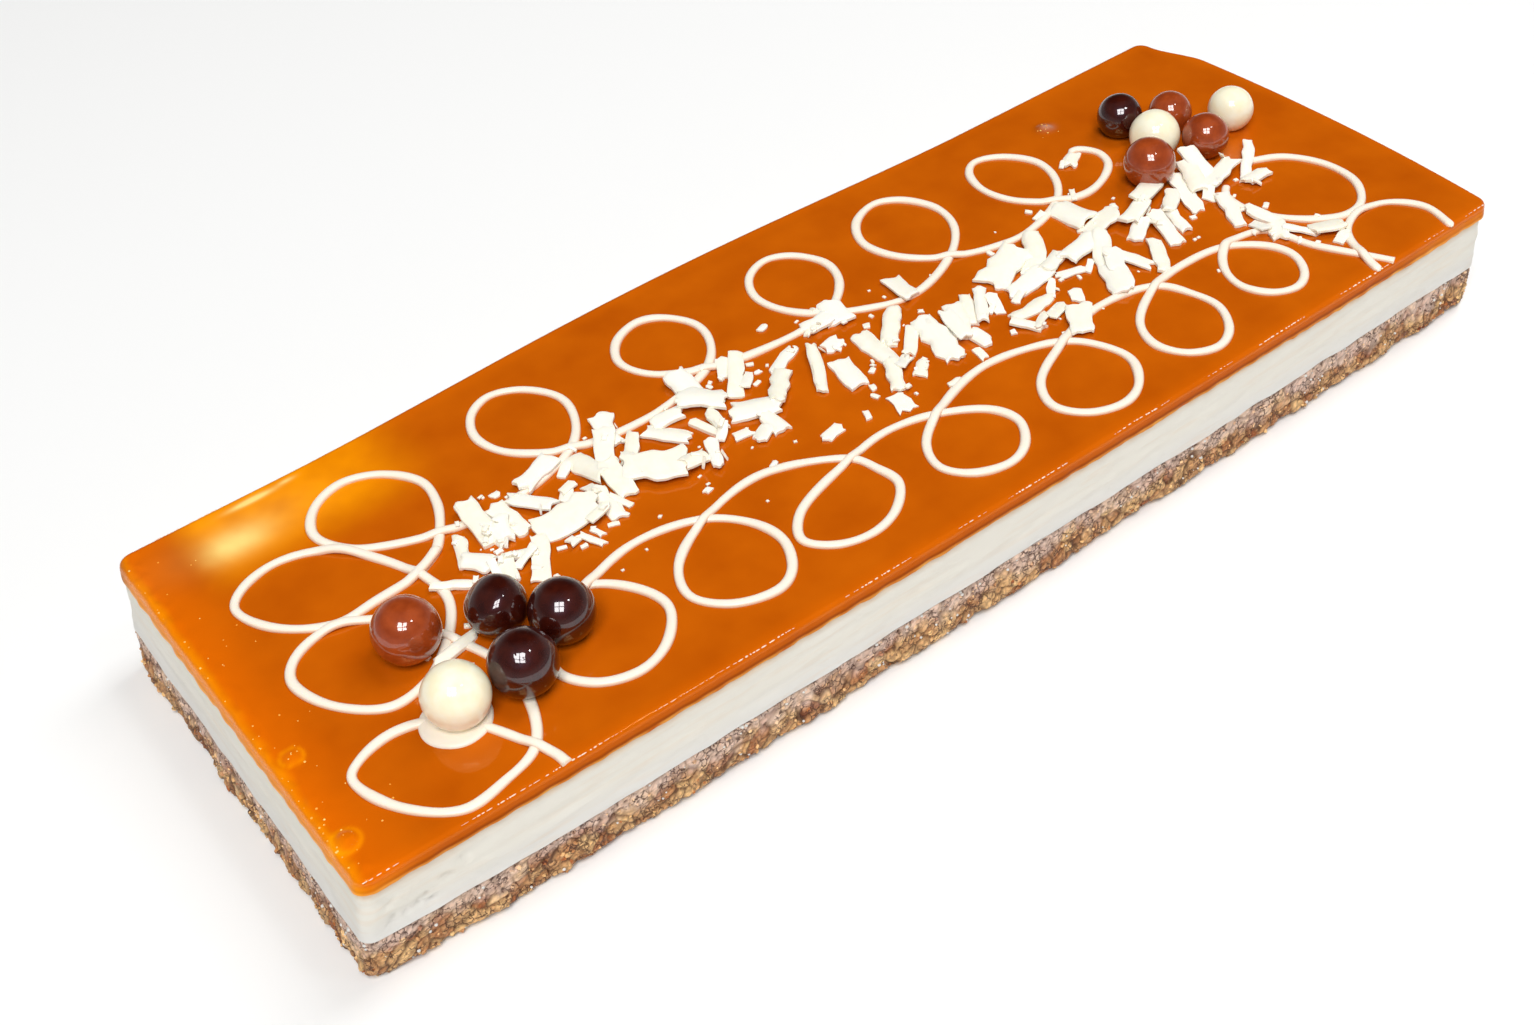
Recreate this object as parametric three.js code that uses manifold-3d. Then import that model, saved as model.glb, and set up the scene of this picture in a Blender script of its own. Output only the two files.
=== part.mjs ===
// Dulce de leche cheesecake: a long bar in three layers, biscuit crumb, cream cheese and caramel
// glaze, with drizzled loops, flakes of white chocolate and eleven chocolate balls on top.
// Millimetres, +Z up, origin at the middle of the underside.
import * as THREE from 'three';
import { mergeVertices } from 'three/addons/utils/BufferGeometryUtils.js';
import Module from 'manifold-3d';

// Driving dimensions of the bar
const LENGTH = 337;
const WIDTH = 120;
const BASE_HEIGHT = 14;
const CREAM_HEIGHT = 15;
const GLAZE_HEIGHT = 4;

// How the hand-cut bar strays from a true block
const CORNER_RADIUS = 3.5;
const FRONT_BOW = 1.5;
const BACK_SPREAD = 2.7;
const BACK_TILT = 0.7;
const BACK_SWELL = 3.9;
const SWELL_AT = -15;
const SWELL_REACH = 110;
const FAR_BOW = 3.2;
const NEAR_SKEW = 1.5;
const NEAR_LEAN = 5;
const FRONT_TUCK = 2.3;
const END_REACH = 34;
const DENT_DEPTH = 4;
const DENT_FROM = 40;
const DENT_TO = 56;

// Layer edges
const GLAZE_EDGE_RADIUS = 1.3;
const GLAZE_RIM_WIDTH = 16;
const INNER_CORNER_RADIUS = 1;
const CREAM_INSET = 0.4;
const CREAM_RIPPLE = 0.35;
const CRAG_DEPTH = 1.9;
const CRAG_LIFT = 1.1;
const CRAG_STEP = 5.4;
const SMOOTH_STEP = 12;
const CORNER_STEPS = 4;

// Rings of the crumb base from its top to its underside: share of its height, inset, looseness
const BASE_RINGS = [
  [1, 0, 0],
  [0.74, -0.4, 1],
  [0.48, -0.6, 1],
  [0.22, -0.4, 1],
  [0, 0.3, 0],
];

// Toppings
const DRIZZLE_WIDTH = 2.3;
const DRIZZLE_HEIGHT = 1;
const DRIZZLE_CROWN = 0.55;
const DRIZZLE_STEP = 5.8;
const DRIZZLE_CHUNK = 9;
const SINK = 0.4;
const BALL_SINK = 1;
const BALL_CLEARANCE = 0.32;
const BALL_SIDES = 12;
const BALL_BANDS = 8;
const FLAKE_THICKNESS = 1.3;
const FLAKE_RAGGED = 0.28;
const FLAKE_TAPER = 0.6;
const MOUND_CROWN = 0.6;
const MOUND_SIDES = 12;
const MERGE_DISTANCE = 1e-4;
const SEED = 20;

// Heights that follow
const CREAM_TOP = BASE_HEIGHT + CREAM_HEIGHT;
const TOP = CREAM_TOP + GLAZE_HEIGHT;
const HALF_LENGTH = LENGTH / 2;
const HALF_WIDTH = WIDTH / 2;
const CORE_LENGTH = HALF_LENGTH - CORNER_RADIUS;
const CORE_WIDTH = HALF_WIDTH - CORNER_RADIUS;

const BALL_COLOURS = { milk: 0x8f4a2c, dark: 0x35120f, white: 0xf5ecc4 };

// Chocolate balls: kind, place on the glaze, diameter
const BALLS = [
  ['milk', -129.7, -11.4, 15.4],
  ['dark', -110.8, -17.5, 14.1],
  ['dark', -101.1, -28.9, 15],
  ['dark', -115.6, -36.5, 15.5],
  ['white', -131.1, -34.8, 15],
  ['dark', 124.2, 31.5, 12.6],
  ['milk', 135.4, 23.2, 12.2],
  ['white', 123.4, 17.3, 13.8],
  ['milk', 133.3, 7.8, 12.8],
  ['milk', 112.3, 8.2, 14],
  ['white', 148.5, 12.8, 12.6],
];

// Loops of the drizzle. Each has the point where the strand crosses itself, how far the loop
// swells before and after that point, how far it reaches from it, how far its tip leans, and
// the sag of the strand on its way to the next crossing.
const loop = (x, y, before, after, reach, lean, sag) => ({ x, y, before, after, reach, lean, sag });

const BACK_LOOPS = [
  loop(-106, 17.5, 22.5, 6, 31.5, -9, 4),
  loop(-67, 22, 15, 9, 31, -4.5, 4.4),
  loop(-25, 24.5, 14.5, 9.2, 28, -2, 2.4),
  loop(11.5, 21.8, 9.3, 13.7, 29.6, 2.3, 7.6),
  loop(50.3, 19, 12.6, 12.6, 32.8, 1.2, 5.8),
  loop(87.9, 18.5, 10.4, 9.6, 29.7, -3, 0),
];
const FRONT_LOOPS = [
  loop(-90, -20, 19, 10.3, 29.3, -5.3, 4.3),
  loop(-57.6, -20, 17, 9.4, 29.5, -1, 6.6),
  loop(-19.8, -26.3, 25.5, 3, 23.1, -12.2, 2.6),
  loop(5.6, -27.6, 12, 13, 24.8, 1.2, 6.1),
  loop(46.8, -27.6, 19, 7.2, 27.1, -5.8, 4),
  loop(79.3, -26.8, 17.2, 5.4, 27.9, -6.7, 1.8),
  loop(104.4, -27, 9.5, 10, 24.2, 0, 0),
];
const END_LOOPS = [
  loop(-116.5, 9, 25.5, 1.5, 37, -18, 3.7),
  loop(-121.5, -13, 20, 10, 32.5, -11, 6),
  loop(-123.5, -52, 22.6, 5, 33.5, -17.3, 0),
];
// Course of the strand round a loop: shares of its swell after and before the crossing, of its
// lean and of its reach
const LOOP_COURSE = [
  [0, 0, 0, 0],
  [0.8, 0, 0, 0.3],
  [0.97, 0, 0, 0.6],
  [0.55, 0, 0.45, 0.9],
  [0, 0, 1, 1],
  [0, 0.65, 0.35, 0.89],
  [0, 1, 0, 0.62],
  [0, 0.8, 0, 0.3],
  [0, 0, 0, 0],
];
const RIGHT_LOOP = [
  [138, -3.5], [147, -9], [152, -19.4], [151, -30], [144.4, -37.4], [137.4, -38.5],
  [130.3, -34.7], [124.4, -27.6], [121, -19], [122, -11], [125.6, -7.6],
];
const RIGHT_ARCH = [
  [124.4, -60.4], [126.8, -52.4], [131.5, -44], [139.7, -40], [149, -41.8], [154.6, -50],
  [152.6, -60.4],
];

// Flakes that are large enough to count one by one: place, length, width, heading in degrees
// and how high the leading end is lifted by what it lies on
const FLAKES = [
  [-111.8, 0.6, 10.5, 2.4, -33, 0], [-104.5, 9.5, 10, 3.4, 72, 0], [-104, 3.2, 8, 5, -52, 1],
  [-96.5, 15.5, 14.5, 5.4, 87, 2], [-94.5, 8.5, 7, 5.6, 80, 1], [-90.6, 11.5, 12, 4.6, 98, 1],
  [-84, 12.5, 12.5, 4, -60, 2], [-80.5, 2.5, 16, 8, -4, 2], [-77.5, 20.4, 11.5, 4.6, 20, 1],
  [-92.5, -5.2, 15, 4, 60, 1], [-95.6, -0.4, 8.5, 2.6, -35, 1], [-100, -3.4, 6.5, 3.5, 75, 0],
  [-70.5, 0.5, 12, 4, 85, 1], [-67, 14, 12.5, 5, -80, 2], [-64.6, 5, 11.5, 5, 87, 1],
  [-56.4, 22, 11.5, 5.6, 75, 1], [-60.4, 16.8, 13, 4.6, 60, 2], [-55.6, 12.6, 11, 3.6, 50, 1],
  [-55.4, 3, 15, 9, -32, 2], [-46.6, 11, 12, 4.6, -53, 0], [-42.4, 16.4, 8, 4.6, -15, 1],
  [-47.2, -2.2, 8, 4.6, 8, 1], [-42.2, -2.8, 9.5, 3, 68, 1], [-37.8, 7, 8.5, 2.4, -76, 0],
  [-34.6, 6.5, 9, 3, 82, 1], [-32.4, 22.5, 12, 6, 88, 2], [-32.6, 15.6, 11, 8, -40, 1],
  [-28.4, -4.2, 7, 4, 28, 0], [-25, -3, 8, 4.4, 95, 0], [-24.6, 4.6, 12, 7, -30, 1],
  [-15.4, 6.8, 13, 4.6, 48, 1], [-20.6, 18, 16, 4, 52, 1], [-8.4, 14.6, 11, 3.2, 27, 0],
  [-4, 6.6, 17, 3.4, 61, 1], [4.8, 11.4, 5.6, 4.6, 10, 0], [0.4, -0.6, 11, 5.4, 78, 0],
  [11.6, 2.4, 14, 5.6, 88, 0], [8.4, -8.4, 11.5, 4, 62, 1], [14.6, -11.2, 6.5, 3.6, 38, 0],
  [20, 7, 14, 4.6, 44, 1], [19.8, -1.2, 11.5, 3.4, 46, 0], [25.4, -5, 18, 6.6, 80, 1],
  [33.6, -3.2, 13.5, 5.4, 62, 1], [38.8, -1.2, 13, 3.6, 58, 0], [42.2, -2, 13.5, 3.2, 53, 1],
  [33, -12.4, 5.4, 3.8, -80, 0], [13, 21, 8.5, 6.6, 80, 1], [7, 20.4, 8, 4.8, -8, 0],
  [32, 17.2, 10.5, 5.4, 81, 0], [57.4, 6.6, 15.5, 8.4, 16, 2], [67.4, 6, 15.5, 5.6, 50, 2],
  [58, -2.6, 14.5, 5.6, 4, 1], [67.4, -1.2, 9.5, 4.4, 24, 1], [51.4, -11.6, 13, 4, 2, 0],
  [45.4, -16.4, 8.5, 2.8, -58, 0], [56, -23.6, 11.5, 6, 52, 0], [77, -1.4, 13.5, 5.4, 12, 2],
  [80.6, -6, 12, 5.4, 55, 1], [74.6, -17.4, 12, 6.8, 62, 1], [83.4, -14.8, 10, 4, -66, 0],
  [89.8, -17.6, 14, 3.6, 57, 0], [87, 12, 11.5, 8, -86, 1], [89.4, 3.8, 13, 6.6, 12, 1],
  [94.6, -5.4, 9.5, 4, 30, 1], [99, 0.4, 10, 5, 22, 2], [107.4, 4.6, 12.5, 5.4, 20, 2],
  [99.4, -10.4, 14, 4.2, 74, 1], [105, -8.4, 12, 3.2, 72, 1], [109, -2.6, 12, 4, 38, 1],
  [115.4, -2.2, 18, 4.6, 66, 1], [121.6, 2, 13, 5, 62, 3], [125.4, 3.4, 12, 5, 82, 3],
  [127.4, -3, 12.5, 4.8, 14, 1], [138.6, -2.2, 16, 3, 40, 2], [134, -9.6, 8, 4.6, 2, 0],
  [118.2, -15.4, 13.5, 4, 63, 1], [121.8, -24, 10.5, 3.2, -78, 0], [119.4, -30.6, 6.5, 5, 60, 1],
  [123.4, -35.2, 9, 2.6, -50, 0], [129.2, -39.2, 9, 5.4, -24, 0], [105, 30.8, 6.4, 3.8, 36, 0],
  [-121.4, -16.6, 12.5, 3, 16, 0],
];

// Puddle of white chocolate round the foot of a white ball, and blisters in the glaze:
// place, radius, height
const PUDDLE = [-132.5, -34.8, 8, 0.8];
const BLISTERS = [[-165, -48, 3.6, 1], [-163.6, -21, 3, 0.7], [110.4, 44.8, 3.4, 1.3]];

const wasm = await Module();
wasm.setup();

/** Seeded random number source, giving numbers from 0 to 1. */
function randomSource(seed) {
  let state = seed;
  return () => {
    state = (state + 0x6d2b79f5) | 0;
    let t = Math.imul(state ^ (state >>> 15), 1 | state);
    t = (t + Math.imul(t ^ (t >>> 7), 61 | t)) ^ t;
    return ((t ^ (t >>> 14)) >>> 0) / 4294967296;
  };
}

/** Steps round the plan, a block with rounded corners: the core point and the way out from it. */
function planOutline(step) {
  const side = (x1, y1, x2, y2) => {
    return new THREE.LineCurve(new THREE.Vector2(x1, y1), new THREE.Vector2(x2, y2));
  };
  const turn = (x, y, quarter) => {
    const start = (quarter * Math.PI) / 2;
    return new THREE.ArcCurve(x, y, CORNER_RADIUS, start, start + Math.PI / 2, false);
  };
  const curves = [
    side(HALF_LENGTH, -CORE_WIDTH, HALF_LENGTH, CORE_WIDTH),
    turn(CORE_LENGTH, CORE_WIDTH, 0),
    side(CORE_LENGTH, HALF_WIDTH, -CORE_LENGTH, HALF_WIDTH),
    turn(-CORE_LENGTH, CORE_WIDTH, 1),
    side(-HALF_LENGTH, CORE_WIDTH, -HALF_LENGTH, -CORE_WIDTH),
    turn(-CORE_LENGTH, -CORE_WIDTH, 2),
    side(-CORE_LENGTH, -HALF_WIDTH, CORE_LENGTH, -HALF_WIDTH),
    turn(CORE_LENGTH, -CORE_WIDTH, 3),
  ];
  return curves.flatMap((curve) => {
    const count = curve.isLineCurve ? Math.ceil(curve.getLength() / step) : CORNER_STEPS;
    return Array.from({ length: count }, (_, i) => {
      const tangent = curve.getTangentAt(i / count);
      const out = new THREE.Vector2(tangent.y, -tangent.x);
      return { core: curve.getPointAt(i / count).addScaledVector(out, -CORNER_RADIUS), out };
    });
  });
}

/** A point of the plan some way in from its edge. The corners stay round and never cross over. */
function planPoint({ core, out }, inset) {
  const radius = Math.max(CORNER_RADIUS - inset, INNER_CORNER_RADIUS);
  const shrink = radius - CORNER_RADIUS + inset;
  return new THREE.Vector2(
    core.x * (1 - shrink / CORE_LENGTH) + out.x * radius,
    core.y * (1 - shrink / CORE_WIDTH) + out.y * radius,
  );
}

/** Moves a point of the true block to where the hand-cut bar has it. */
function warp(x, y, z) {
  const along = x / HALF_LENGTH;
  const across = y / HALF_WIDTH;
  const depth = 1 - z / TOP;
  const nearness = THREE.MathUtils.smoothstep(-x, HALF_LENGTH - END_REACH, HALF_LENGTH);
  const farness = THREE.MathUtils.smoothstep(x, HALF_LENGTH - END_REACH, HALF_LENGTH);
  const fromSwell = Math.min(1, Math.abs(x - SWELL_AT) / SWELL_REACH);
  const backBow = BACK_SPREAD + BACK_TILT * along + BACK_SWELL * (1 - fromSwell ** 2) ** 2;
  const bow = across > 0 ? backBow : FRONT_BOW * (1 - along ** 2);
  const dent = DENT_DEPTH * THREE.MathUtils.smoothstep(y, DENT_FROM, DENT_TO);
  const nearShift = NEAR_LEAN * depth - (NEAR_SKEW / 2) * across;
  const farShift = FAR_BOW * (1 - across ** 2) - dent;
  const tuck = across < 0 ? FRONT_TUCK * depth * nearness * -across : 0;
  return new THREE.Vector3(
    x - nearness * nearShift + farness * farShift,
    y + across * bow + tuck,
    z,
  );
}

/** A closed tube of rings, each corner where place(ring, corner) has it, with a fan on each end. */
function tubeGeometry(corners, bands, place, middle) {
  const tube = new THREE.CylinderGeometry(1, 1, 1, corners, bands);
  tube.deleteAttribute('normal');
  tube.deleteAttribute('uv');
  const geometry = mergeVertices(tube);
  const position = geometry.attributes.position;
  for (let i = 0; i < position.count; i += 1) {
    const from = new THREE.Vector3().fromBufferAttribute(position, i);
    const ring = Math.round((0.5 - from.y) * bands);
    const turn = Math.atan2(from.x, from.z) / (2 * Math.PI);
    const corner = Math.round((turn + 1) * corners) % corners;
    const centre = Math.hypot(from.x, from.z) < 0.5;
    const to = centre ? middle(ring) : place(ring, corner);
    position.setXYZ(i, to.x, to.y, to.z);
  }
  return geometry;
}

/** A layer of the bar: rings from its top to its underside, each an inset and a height by step. */
function layerGeometry(outline, rings) {
  const place = (ring, step) => {
    const { inset, z, lift } = rings[ring](step);
    const at = planPoint(outline[step], inset);
    const point = warp(at.x, at.y, z);
    return point.setZ(point.z + lift);
  };
  const middle = (ring) => new THREE.Vector3(0, 0, rings[ring](0).z);
  return tubeGeometry(outline.length, rings.length - 1, place, middle);
}

/** A closed geometry as a solid that can be joined and cut. */
function solidOf(geometry) {
  const plain = geometry.clone();
  for (const name of ['normal', 'uv']) {
    plain.deleteAttribute(name);
  }
  const merged = mergeVertices(plain, MERGE_DISTANCE);
  return new wasm.Manifold(
    new wasm.Mesh({
      numProp: 3,
      vertProperties: new Float32Array(merged.attributes.position.array),
      triVerts: new Uint32Array(merged.index.array),
    }),
  );
}

/** A solid as a geometry to show. */
function geometryOf(solid) {
  const mesh = solid.getMesh();
  const geometry = new THREE.BufferGeometry();
  geometry.setAttribute('position', new THREE.BufferAttribute(new Float32Array(mesh.vertProperties), 3));
  geometry.setIndex(Array.from(mesh.triVerts));
  geometry.computeVertexNormals();
  return geometry;
}

/** The largest body of a solid: loose scraps and sealed hollows stay behind. */
function largestBody(solid) {
  return solid.decompose().sort((a, b) => b.volume() - a.volume())[0];
}

/** Biscuit crumb base: crags all round between a flat underside and a flat top. */
function crumbBaseGeometry() {
  const random = randomSource(SEED);
  const outline = planOutline(CRAG_STEP);
  const crags = outline.map(() => BASE_RINGS.map(() => [random(), random() - 0.5]));
  const rings = BASE_RINGS.map(([share, inset, loose], level) => (step) => ({
    inset: inset + CRAG_DEPTH * crags[step][level][0],
    z: BASE_HEIGHT * share,
    lift: loose * 2 * CRAG_LIFT * crags[step][level][1],
  }));
  return layerGeometry(outline, rings);
}

/** Cream cheese layer: knife-smoothed sides with a faint ripple. */
function creamGeometry() {
  const random = randomSource(SEED + 1);
  const outline = planOutline(SMOOTH_STEP);
  const ripple = outline.map(() => [random(), random(), random()]);
  const ring = (level, z) => (step) => ({
    inset: CREAM_INSET + CREAM_RIPPLE * ripple[step][level],
    z,
    lift: 0,
  });
  return layerGeometry(outline, [
    ring(0, CREAM_TOP),
    ring(1, BASE_HEIGHT + CREAM_HEIGHT / 2),
    ring(2, BASE_HEIGHT),
  ]);
}

/** Caramel glaze, poured level, with a rounded top edge. */
function glazeGeometry() {
  const outline = planOutline(SMOOTH_STEP);
  const ring = (inset, z) => () => ({ inset, z, lift: 0 });
  return layerGeometry(outline, [
    ring(GLAZE_RIM_WIDTH, TOP),
    ring(GLAZE_EDGE_RADIUS, TOP),
    ring(GLAZE_EDGE_RADIUS * 0.3, TOP - GLAZE_EDGE_RADIUS * 0.3),
    ring(0, TOP - GLAZE_EDGE_RADIUS),
    ring(CREAM_INSET, CREAM_TOP),
  ]);
}

/** The points of one loop, from its crossing round and back to it. */
function loopPoints({ x, y, before, after, reach, lean }, travel, away) {
  return LOOP_COURSE.map(([afterShare, beforeShare, leanShare, reachShare]) => {
    const forth = afterShare * after - beforeShare * before + leanShare * lean;
    const out = reachShare * reach;
    return [x + travel[0] * forth + away[0] * out, y + travel[1] * forth + away[1] * out];
  });
}

/** The points of a chain of loops, with the sagging stretches between them. */
function chainPoints(loops, travel, away) {
  return loops.flatMap((each, i) => {
    const next = loops[i + 1];
    const points = loopPoints(each, travel, away);
    if (!next) {
      return points;
    }
    const middleX = (each.x + next.x) / 2 - away[0] * each.sag;
    const middleY = (each.y + next.y) / 2 - away[1] * each.sag;
    return [...points, [middleX, middleY]];
  });
}

/** A strand of drizzle on the glaze, in chunks that are too short to cross themselves. */
function strandSolids(points) {
  const knots = points.map(([x, y]) => new THREE.Vector3(x, y, TOP));
  const route = new THREE.CatmullRomCurve3(knots, false, 'centripetal');
  const steps = Math.ceil(route.getLength() / DRIZZLE_STEP);
  const half = DRIZZLE_WIDTH / 2;
  const bead = [
    [-half, 0],
    [-half * DRIZZLE_CROWN, DRIZZLE_HEIGHT],
    [half * DRIZZLE_CROWN, DRIZZLE_HEIGHT],
    [half, 0],
  ];
  const sections = Array.from({ length: steps + 1 }, (_, i) => {
    const at = route.getPointAt(i / steps);
    const left = new THREE.Vector3(0, 0, 1).cross(route.getTangentAt(i / steps));
    const corner = ([across, up]) => at.clone().setZ(TOP + up).addScaledVector(left, across);
    return bead.map(corner);
  });
  const solids = [];
  for (let from = 0; from < steps; from += DRIZZLE_CHUNK) {
    const count = Math.min(DRIZZLE_CHUNK, steps - from);
    const place = (ring, corner) => sections[from + ring][corner];
    const middle = (ring) => {
      const foot = place(ring, 0).clone().lerp(place(ring, bead.length - 1), 0.5);
      return foot.setZ(TOP + DRIZZLE_HEIGHT / 2);
    };
    solids.push(solidOf(tubeGeometry(bead.length, count, place, middle)));
  }
  return solids;
}

/** A flake of white chocolate: a torn plank that lies on the glaze or leans on its neighbours. */
function flakeSolid([x, y, length, width, heading, lift], random) {
  const end = length / 2;
  const half = width / 2;
  const ragged = (limit) => limit * (1 - FLAKE_RAGGED * random());
  const outline = new THREE.Shape([
    new THREE.Vector2(-ragged(end), -half),
    new THREE.Vector2(ragged(end), -half),
    new THREE.Vector2(end, half * (random() - 0.5)),
    new THREE.Vector2(ragged(end), half),
    new THREE.Vector2(-end, half * (1 - FLAKE_TAPER * random())),
  ]);
  const depth = FLAKE_THICKNESS + SINK;
  const plank = new THREE.ExtrudeGeometry(outline, { depth, bevelEnabled: false });
  const pitch = -Math.asin(lift / length);
  const pose = new THREE.Matrix4()
    .makeTranslation(x, y, TOP - SINK + lift / 2)
    .multiply(new THREE.Matrix4().makeRotationZ(THREE.MathUtils.degToRad(heading)))
    .multiply(new THREE.Matrix4().makeRotationY(pitch));
  plank.applyMatrix4(pose);
  return solidOf(plank);
}

/** A low round swelling on the glaze. */
function moundSolid([x, y, radius, height]) {
  const profile = [
    new THREE.Vector2(0, -SINK),
    new THREE.Vector2(radius, -SINK),
    new THREE.Vector2(radius * MOUND_CROWN, height),
    new THREE.Vector2(0, height),
  ];
  const mound = new THREE.LatheGeometry(profile, MOUND_SIDES);
  mound.rotateX(Math.PI / 2);
  mound.translate(x, y, TOP);
  return solidOf(mound);
}

/** A chocolate ball, sunk a little into the glaze. */
function ballGeometry([, x, y, diameter], clearance) {
  const radius = diameter / 2;
  const ball = new THREE.SphereGeometry(radius + clearance, BALL_SIDES, BALL_BANDS);
  ball.rotateX(Math.PI / 2);
  ball.translate(x, y, TOP + radius - BALL_SINK);
  return ball;
}

/** The glaze with everything that is stuck to it, less the dimples that the balls sit in. */
function dressedGlaze() {
  const random = randomSource(SEED + 2);
  const right = [1, 0];
  const toFront = [0, -1];
  const backStrand = [
    [-116.5, 8.8],
    [-110, 12.6],
    ...chainPoints(BACK_LOOPS, right, [0, 1]),
    [96, 15.6], [104.4, 17.6], [111, 22.4], [112.6, 28.2], [109.7, 33], [106.8, 33.5],
  ];
  const endStrand = [
    [-108.7, 13],
    ...chainPoints(END_LOOPS, toFront, [-1, 0]),
    [-121.6, -57],
    [-121.2, -60.2],
  ];
  const frontStrand = [
    [-101, -23],
    ...chainPoints(FRONT_LOOPS, right, toFront),
    [111.5, -26.7], [117.4, -29.4], [120.9, -41.8], [126.8, -53.5], [130.3, -60.2],
  ];
  const strands = [backStrand, endStrand, frontStrand, RIGHT_LOOP, RIGHT_ARCH];
  const toppings = [
    ...strands.flatMap(strandSolids),
    ...FLAKES.map((flake) => flakeSolid(flake, random)),
    moundSolid(PUDDLE),
    ...BLISTERS.map(moundSolid),
  ];
  const dimples = BALLS.map((ball) => solidOf(ballGeometry(ball, BALL_CLEARANCE)));
  const joined = wasm.Manifold.union([solidOf(glazeGeometry()), ...toppings]);
  const cut = joined.subtract(wasm.Manifold.union(dimples));
  // Rounding to 32-bit numbers can free a sliver, so the largest body is taken again after it
  return largestBody(solidOf(geometryOf(largestBody(cut))));
}

/** A named mesh with a material of its own. */
function node(name, geometry, color, roughness) {
  const material = new THREE.MeshStandardMaterial({ color, roughness, metalness: 0 });
  const mesh = new THREE.Mesh(geometry, material);
  mesh.name = name;
  return mesh;
}

const group = new THREE.Group();
group.add(node('crumb_base', crumbBaseGeometry(), 0xb08560, 0.9));
group.add(node('cream', creamGeometry(), 0xece8dc, 0.6));
group.add(node('glaze', geometryOf(dressedGlaze()), 0xcc5c00, 0.1));
BALLS.forEach((ball, i) => {
  const geometry = solidOf(ballGeometry(ball, 0));
  group.add(node(`${ball[0]}_ball_${i + 1}`, geometryOf(geometry), BALL_COLOURS[ball[0]], 0.2));
});

// The origin is the middle of the underside
const box = new THREE.Box3().setFromObject(group);
group.position.set(-(box.min.x + box.max.x) / 2, -(box.min.y + box.max.y) / 2, 0);

export default group;
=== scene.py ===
"""Dulce de leche cheesecake, dressed for the studio.

A long hand-cut bar of three layers, biscuit crumb, cream cheese and poured caramel glaze, with
drizzled loops of white chocolate, torn flakes and eleven chocolate balls on top. Sizes and places
are in millimetres on the cake's own plan, whose origin is the middle of the block. A Bench sets
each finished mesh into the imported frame.
"""

import logging
import math
import random
from dataclasses import dataclass, field
from enum import Enum
from typing import Any, Callable, Iterable, Optional, Sequence

import bmesh
import bpy
from mathutils import Matrix, Vector, noise


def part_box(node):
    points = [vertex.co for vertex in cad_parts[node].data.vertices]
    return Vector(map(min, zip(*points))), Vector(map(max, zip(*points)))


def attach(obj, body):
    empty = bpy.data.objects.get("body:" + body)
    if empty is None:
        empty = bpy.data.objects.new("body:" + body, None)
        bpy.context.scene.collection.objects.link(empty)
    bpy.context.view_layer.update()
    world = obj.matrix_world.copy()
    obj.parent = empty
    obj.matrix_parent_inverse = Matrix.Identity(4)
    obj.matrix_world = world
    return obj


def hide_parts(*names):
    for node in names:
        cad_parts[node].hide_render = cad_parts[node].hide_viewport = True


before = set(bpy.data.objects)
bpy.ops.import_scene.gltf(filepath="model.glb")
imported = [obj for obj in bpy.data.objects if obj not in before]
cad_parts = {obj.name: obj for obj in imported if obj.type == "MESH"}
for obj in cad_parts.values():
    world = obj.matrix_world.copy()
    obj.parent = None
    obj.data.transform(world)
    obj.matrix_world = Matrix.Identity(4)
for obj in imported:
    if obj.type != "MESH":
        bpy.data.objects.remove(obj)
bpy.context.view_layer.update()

MM = 0.001
SEED = 20
PHOTO_WIDTH = 1534

log = logging.getLogger("cheesecake")


class Slot(Enum):
    """Names of material slots; the balls list them, but no piece is given one."""

    CRUMB = "biscuit_crumb"
    CREAM = "cream_cheese"
    CARAMEL = "caramel_glaze"
    MILK = "milk_chocolate"
    DARK = "dark_chocolate"
    WHITE = "white_chocolate"


class Chocolate(Enum):
    """What a ball is coated with."""

    MILK = "milk"
    DARK = "dark"
    WHITE = "white"


# ---- Small tools ----


def linear(colour: str, alpha: float = 1.0) -> tuple[float, float, float, float]:
    """Turns an sRGB hex colour into linear light.

    Args:
        colour: Six hex digits with a leading hash.
        alpha: The fourth value.

    Returns:
        Linear red, green and blue, and alpha.
    """
    channels = [int(colour[i : i + 2], 16) / 255 for i in (1, 3, 5)]
    light = [c / 12.92 if c <= 0.04045 else ((c + 0.055) / 1.055) ** 2.4 for c in channels]
    return (light[0], light[1], light[2], alpha)


def smoothstep(value: float, low: float, high: float) -> float:
    """Eases from 0 at low to 1 at high."""
    share = min(1.0, max(0.0, (value - low) / (high - low)))
    return share * share * (3 - 2 * share)


def blend(start: float, end: float, share: float) -> float:
    """Returns the value that lies a share of the way from start to end."""
    return start + (end - start) * share


def hill(x: float, y: float, reach_x: float, reach_y: float) -> float:
    """Returns a soft round hill, 1 at its middle, for a point given from that middle."""
    return math.exp(-((x / reach_x) ** 2) - (y / reach_y) ** 2)


def per_metre(size: float) -> float:
    """Returns the texture scale that makes one cell of a pattern the given millimetres wide."""
    return 1 / (size * MM)


def add_node(
    tree: bpy.types.NodeTree,
    kind: str,
    settings: Optional[dict[Any, Any]] = None,
    links: Optional[dict[Any, bpy.types.Node | bpy.types.NodeSocket]] = None,
) -> bpy.types.Node:
    """Adds one shader node with its settings and its incoming links.

    Args:
        tree: The node tree that it joins.
        kind: Blender's name for the node, without the ShaderNode in front.
        settings: Properties of the node, or else values of its sockets, by name or index.
        links: What feeds its inputs, by the input's name or index: an output socket, or a node
            whose first output does.

    Returns:
        The new node.
    """
    node = tree.nodes.new("ShaderNode" + kind)
    for key, value in (settings or {}).items():
        if isinstance(key, str) and hasattr(node, key):
            setattr(node, key, value)
        else:
            node.inputs[key].default_value = value
    for key, source in (links or {}).items():
        output = source.outputs[0] if isinstance(source, bpy.types.Node) else source
        tree.links.new(output, node.inputs[key])
    return node


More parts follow.
